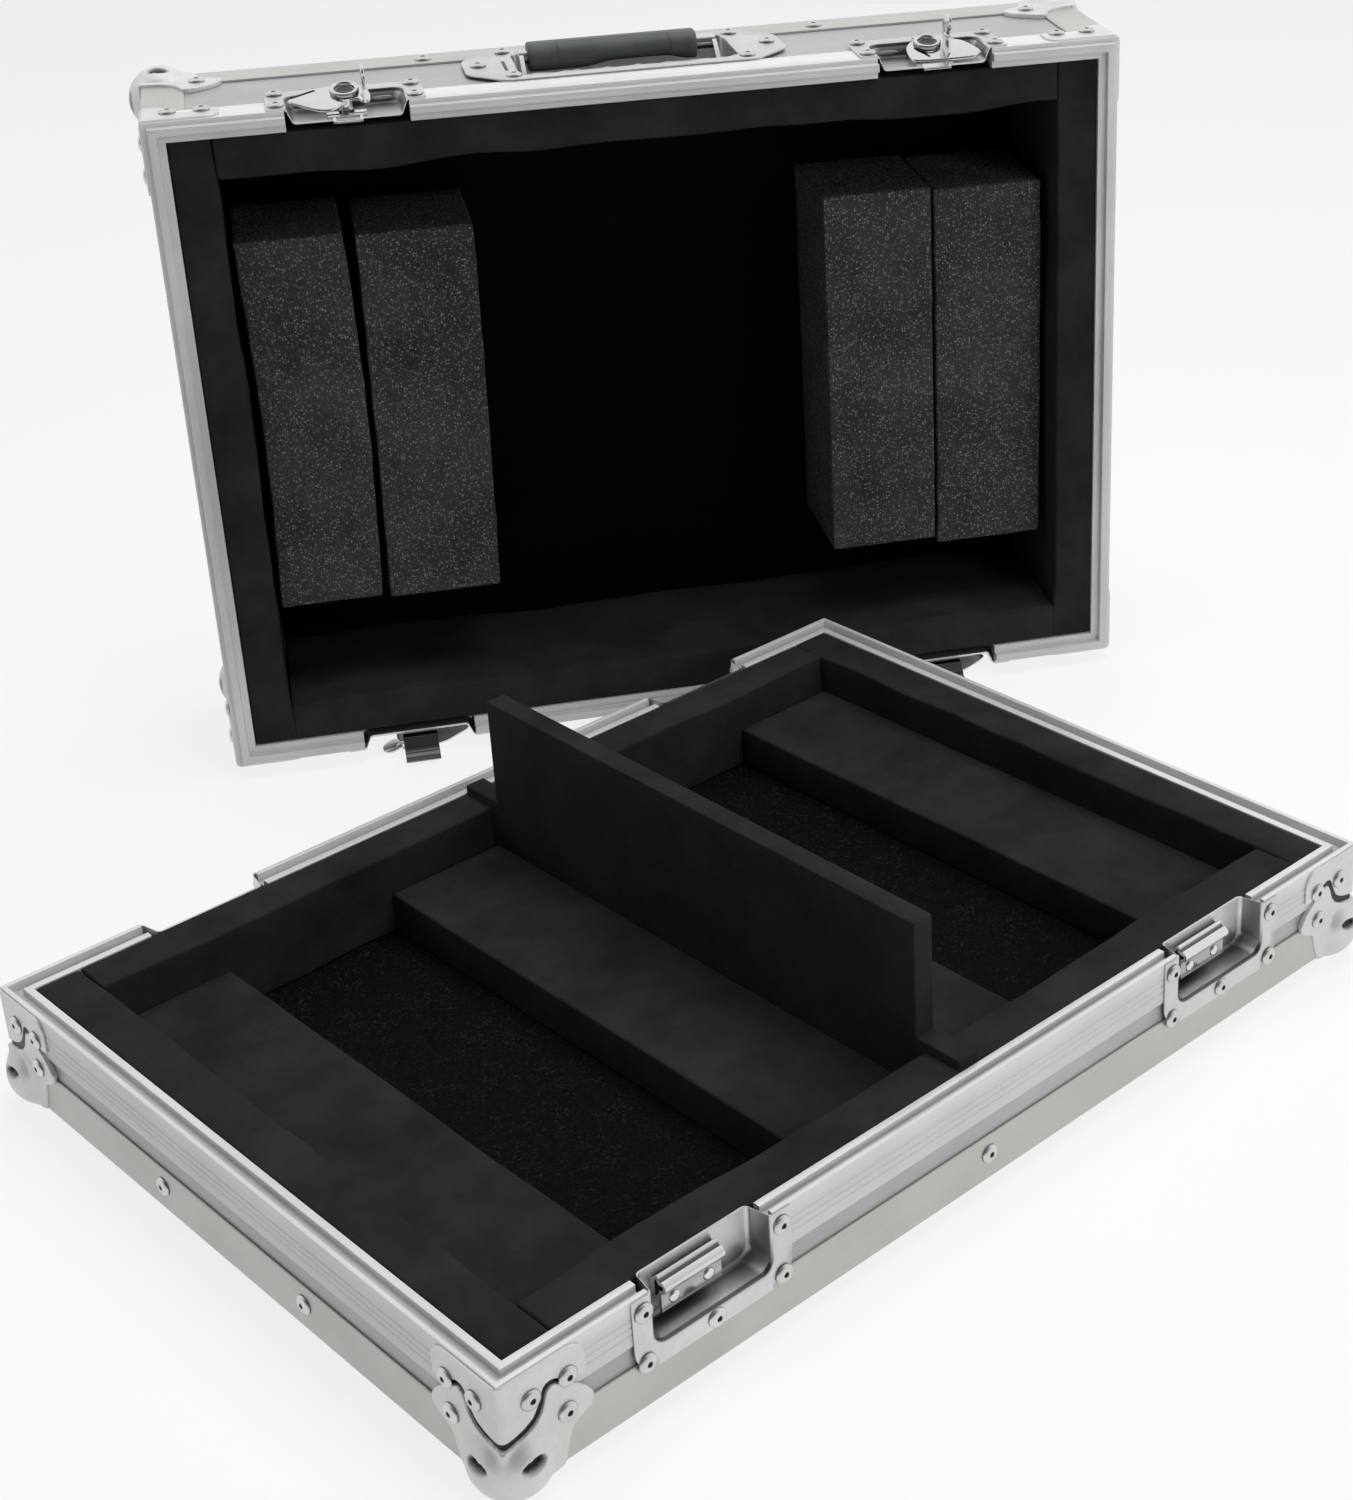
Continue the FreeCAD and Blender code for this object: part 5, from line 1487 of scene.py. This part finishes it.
def latch_rotor(latch):
    """Twist plate as it hangs on its spindle, with its rolled edge, boss, slit and the fin's bracket."""
    shape = new_shape()
    tilt = math.radians(latch["tilt"])
    middle = Matrix.Translation((0, 0, SPINDLE_DEPTH))
    hung = Matrix.Translation((0, -latch["rise"], 0)) @ Matrix.Rotation(tilt, 4, "X")
    upright = middle @ hung @ FACING_OUT
    flip = Matrix.Scale(latch["long"], 4, (1, 0, 0))
    add_stack(shape, rounded(latch["plate"], LEAF_ROUND), PLATE_STEPS, upright @ flip)
    boss = upright @ Matrix.Translation((*BOSS_SPOT, 0))
    add_stack(shape, circle(BOSS_RADIUS, 28), BOSS_STEPS, boss, BOSS_PAINTED_SHADES)
    foot, head = SEAT_GAP - LATCH_RECESS, latch["rise"] - SPINDLE_SINK
    add_stack(shape, circle(SPINDLE_RADIUS), [(0.0, foot), (0.0, head)], middle @ FACING_OUT)
    start, end = (Vector(spot) for spot in latch["slit"])
    way = (end - start).normalized() * SLIT_HALF
    across = Vector((-way.y, way.x))
    slit = [start - way - across, end + way - across, end + way + across, start - way + across]
    # The slit is drawn as a thin patch of painted shade on the plate.
    add_stack(shape, rounded(slit, SLIT_ROUND), SLIT_STEPS, upright @ flip, (1.0, 1.0))
    low, lean = latch["rise"] - BRACKET_SINK, BRACKET_HALF * math.tan(tilt)
    bracket = [(-BRACKET_HALF, low - lean), (-BRACKET_HALF, FIN_AXIS_LIFT),
               (BRACKET_HALF, FIN_AXIS_LIFT), (BRACKET_HALF, low + lean)]
    add_stack(shape, bracket, BRACKET_STEPS, Matrix.Translation((FIN_SPOT, 0, SPINDLE_DEPTH)) @ EDGEWISE)
    return shape


def latch_fin(latch):
    """Thin wing on its barrel and pin, standing up or laid flat."""
    shape = new_shape()
    add_stack(shape, rounded(FIN_OUTLINE, FIN_ROUND), FIN_STEPS, EDGEWISE)
    for radius, half in (FIN_BARREL, FIN_PIN):
        straight = half - PIN_CHAMFER
        steps = [(PIN_CHAMFER, -half), (0.0, -straight), (0.0, straight), (PIN_CHAMFER, half)]
        add_stack(shape, circle(radius, 12), steps, Matrix())
    fold = Matrix.Rotation(0 if latch["raised"] else math.radians(90), 4, "Z")
    axis = Matrix.Translation((FIN_SPOT, -FIN_AXIS_LIFT, SPINDLE_DEPTH))
    bmesh.ops.transform(shape, matrix=axis @ fold, verts=shape.verts)
    return shape


def latch_hook(latch):
    """Draw hook: a bed with a slot for the spindle, a neck, and a lip past the rim, whole or an open loop."""
    shape = new_shape()

    def add_strip(line, *spans, painted_shades=(0.0,)):
        outline = rounded(strip_outline(line, HOOK_GAUGE), HOOK_ROUND)
        for start, end in spans:
            add_bar(shape, outline, Matrix(), [(start, 0), (end, 0)], painted_shades + painted_shades[::-1])

    bed, tail = HOOK_BED
    neck_start, neck_end = HOOK_NECK
    sides = [(-HOOK_HALF, -HOOK_SLOT_HALF), (HOOK_SLOT_HALF, HOOK_HALF)]
    lip_half = latch["lip_half"]
    legs = [(-lip_half, HOOK_LEG - lip_half), (lip_half - HOOK_LEG, lip_half)]
    whole = (-lip_half, lip_half)
    add_strip([(bed, tail), (bed, neck_start)], *sides)
    add_strip([(bed, neck_start + HOOK_LAP), (bed, neck_end)], (-HOOK_NECK_HALF, HOOK_NECK_HALF))
    add_strip(latch["hook"], *(legs if latch["open"] else [whole]), painted_shades=latch["painted_shades"])
    before, end = (Vector(spot) for spot in latch["hook"][-2:])
    bar = end + (before - end).normalized() * HOOK_LEG
    add_strip([tuple(bar), tuple(end)], whole)
    return shape


for name, latch in LATCHES.items():
    place = on_wall(latch["wall"], latch["side"] * LATCH_OFFSET)
    for kind, draw in (("rotor", latch_rotor), ("fin", latch_fin), ("hook", latch_hook)):
        shape = draw(latch)
        body = "latch_" + kind + "_" + name
        bmesh.ops.transform(shape, matrix=place, verts=shape.verts)
        seat(body + "_chromed", shape, "lid", chrome, body, body, flat_angle=50)


# Studio.
# A pale floor, a wide soft lamp overhead, a weaker one from the front and a camera at the photograph's
# viewing angle. The room is white all round but for one darker side, which shows in polished metal.

SKY_LIGHT = 0.22
DARK_SIDE = (-0.61, -0.66, 0.44)
DARK_SIDE_SPAN = (0.25, 0.8)
DARK_SIDE_LIGHT = 0.1
FLOOR_REACH = 15.0
FLOOR_GREY = (0.9, 0.9, 0.9, 1)
FLOOR_GLOW = 0.8
WHITE = (1, 1, 1, 1)


def seen_rays(tree):
    """Rays that reach the eye straight, by a reflection or through glass, and the reflected ones alone."""
    rays = add_node(tree, "ShaderNodeLightPath").outputs
    seen = math_node(tree, "MAXIMUM", rays["Is Camera Ray"], rays["Is Glossy Ray"])
    return math_node(tree, "MAXIMUM", seen, rays["Is Transmission Ray"]), rays["Is Glossy Ray"]


floor_shape = bmesh.new()
bmesh.ops.create_grid(floor_shape, x_segments=1, y_segments=1, size=FLOOR_REACH)
floor = new_object("studio_floor", new_mesh("studio_floor", floor_shape))
paper = bpy.data.materials.new("studio_paper")
paper.use_nodes = True
tree = paper.node_tree
tree.nodes.clear()
glow = math_node(tree, "MULTIPLY", seen_rays(tree)[0], FLOOR_GLOW)
plain = add_node(tree, "ShaderNodeBsdfDiffuse", {"Color": FLOOR_GREY})
bright = add_node(tree, "ShaderNodeEmission", {"Color": WHITE, "Strength": 1.0})
blend = add_node(tree, "ShaderNodeMixShader", {0: glow, 1: plain.outputs[0], 2: bright.outputs[0]})
add_node(tree, "ShaderNodeOutputMaterial", {"Surface": blend.outputs[0]})
floor.data.materials.append(paper)

world = bpy.data.worlds.new("studio_world")
bpy.context.scene.world = world
world.use_nodes = True
tree = world.node_tree
tree.nodes.clear()
seen, mirrored = seen_rays(tree)
side = add_node(tree, "ShaderNodeVectorMath", {
    0: add_node(tree, "ShaderNodeTexCoord").outputs["Generated"], 1: DARK_SIDE}, operation="DOT_PRODUCT")
shown = range_node(tree, side.outputs["Value"], 1.0, DARK_SIDE_LIGHT, *DARK_SIDE_SPAN)
glossy = add_node(tree, "ShaderNodeMix", {0: mirrored, 2: 1.0, 3: shown}, data_type="FLOAT")
strength = add_node(tree, "ShaderNodeMix", {0: seen, 2: SKY_LIGHT, 3: glossy.outputs[0]}, data_type="FLOAT")
sky = add_node(tree, "ShaderNodeBackground", {"Color": WHITE, "Strength": strength.outputs[0]})
add_node(tree, "ShaderNodeOutputWorld", {"Surface": sky.outputs[0]})


def soft_lamp(name, spot, target, size, power):
    """Square soft box that faces a point."""
    light = bpy.data.lights.new(name, "AREA")
    light.shape = "SQUARE"
    light.size = size
    light.energy = power
    lamp = new_object(name, light)
    lamp.visible_glossy = False
    lamp.location = spot
    lamp.rotation_euler = (Vector(target) - Vector(spot)).to_track_quat("-Z", "Y").to_euler()


soft_lamp("overhead_box", (0.4, 0.05, 2.0), (0, 0, 0), 1.5, 29.0)
soft_lamp("front_box", (0.15, -2.3, 1.25), (0, 0, 0.15), 1.0, 18.0)

PHOTO = (1353, 1500)
FOCAL = 2552.9
CENTRE = (828.5, 632.5)
CAMERA_SPOT = (-0.69621, -0.85137, 0.75869)
camera_right = Vector((0.72029398, -0.69289722, -0.03271118))
camera_down = Vector((-0.32625538, -0.2967858, -0.89748293))
camera_ahead = Vector((0.61215522, 0.65712375, -0.43983448))
lens = bpy.data.cameras.new("photo_camera")
lens.sensor_fit = "HORIZONTAL"
lens.sensor_width = 36.0
lens.lens = FOCAL * lens.sensor_width / PHOTO[0]
lens.shift_x = (PHOTO[0] / 2 - CENTRE[0]) / PHOTO[0]
lens.shift_y = (CENTRE[1] - PHOTO[1] / 2) / PHOTO[0]
lens.clip_start = 0.01
camera = new_object("photo_camera", lens)
turn = Matrix([camera_right, -camera_down, -camera_ahead]).transposed().to_4x4()
camera.matrix_world = Matrix.Translation(CAMERA_SPOT) @ turn
bpy.context.scene.camera = camera
bpy.context.scene.view_settings.view_transform = "Standard"

bpy.context.view_layer.update()
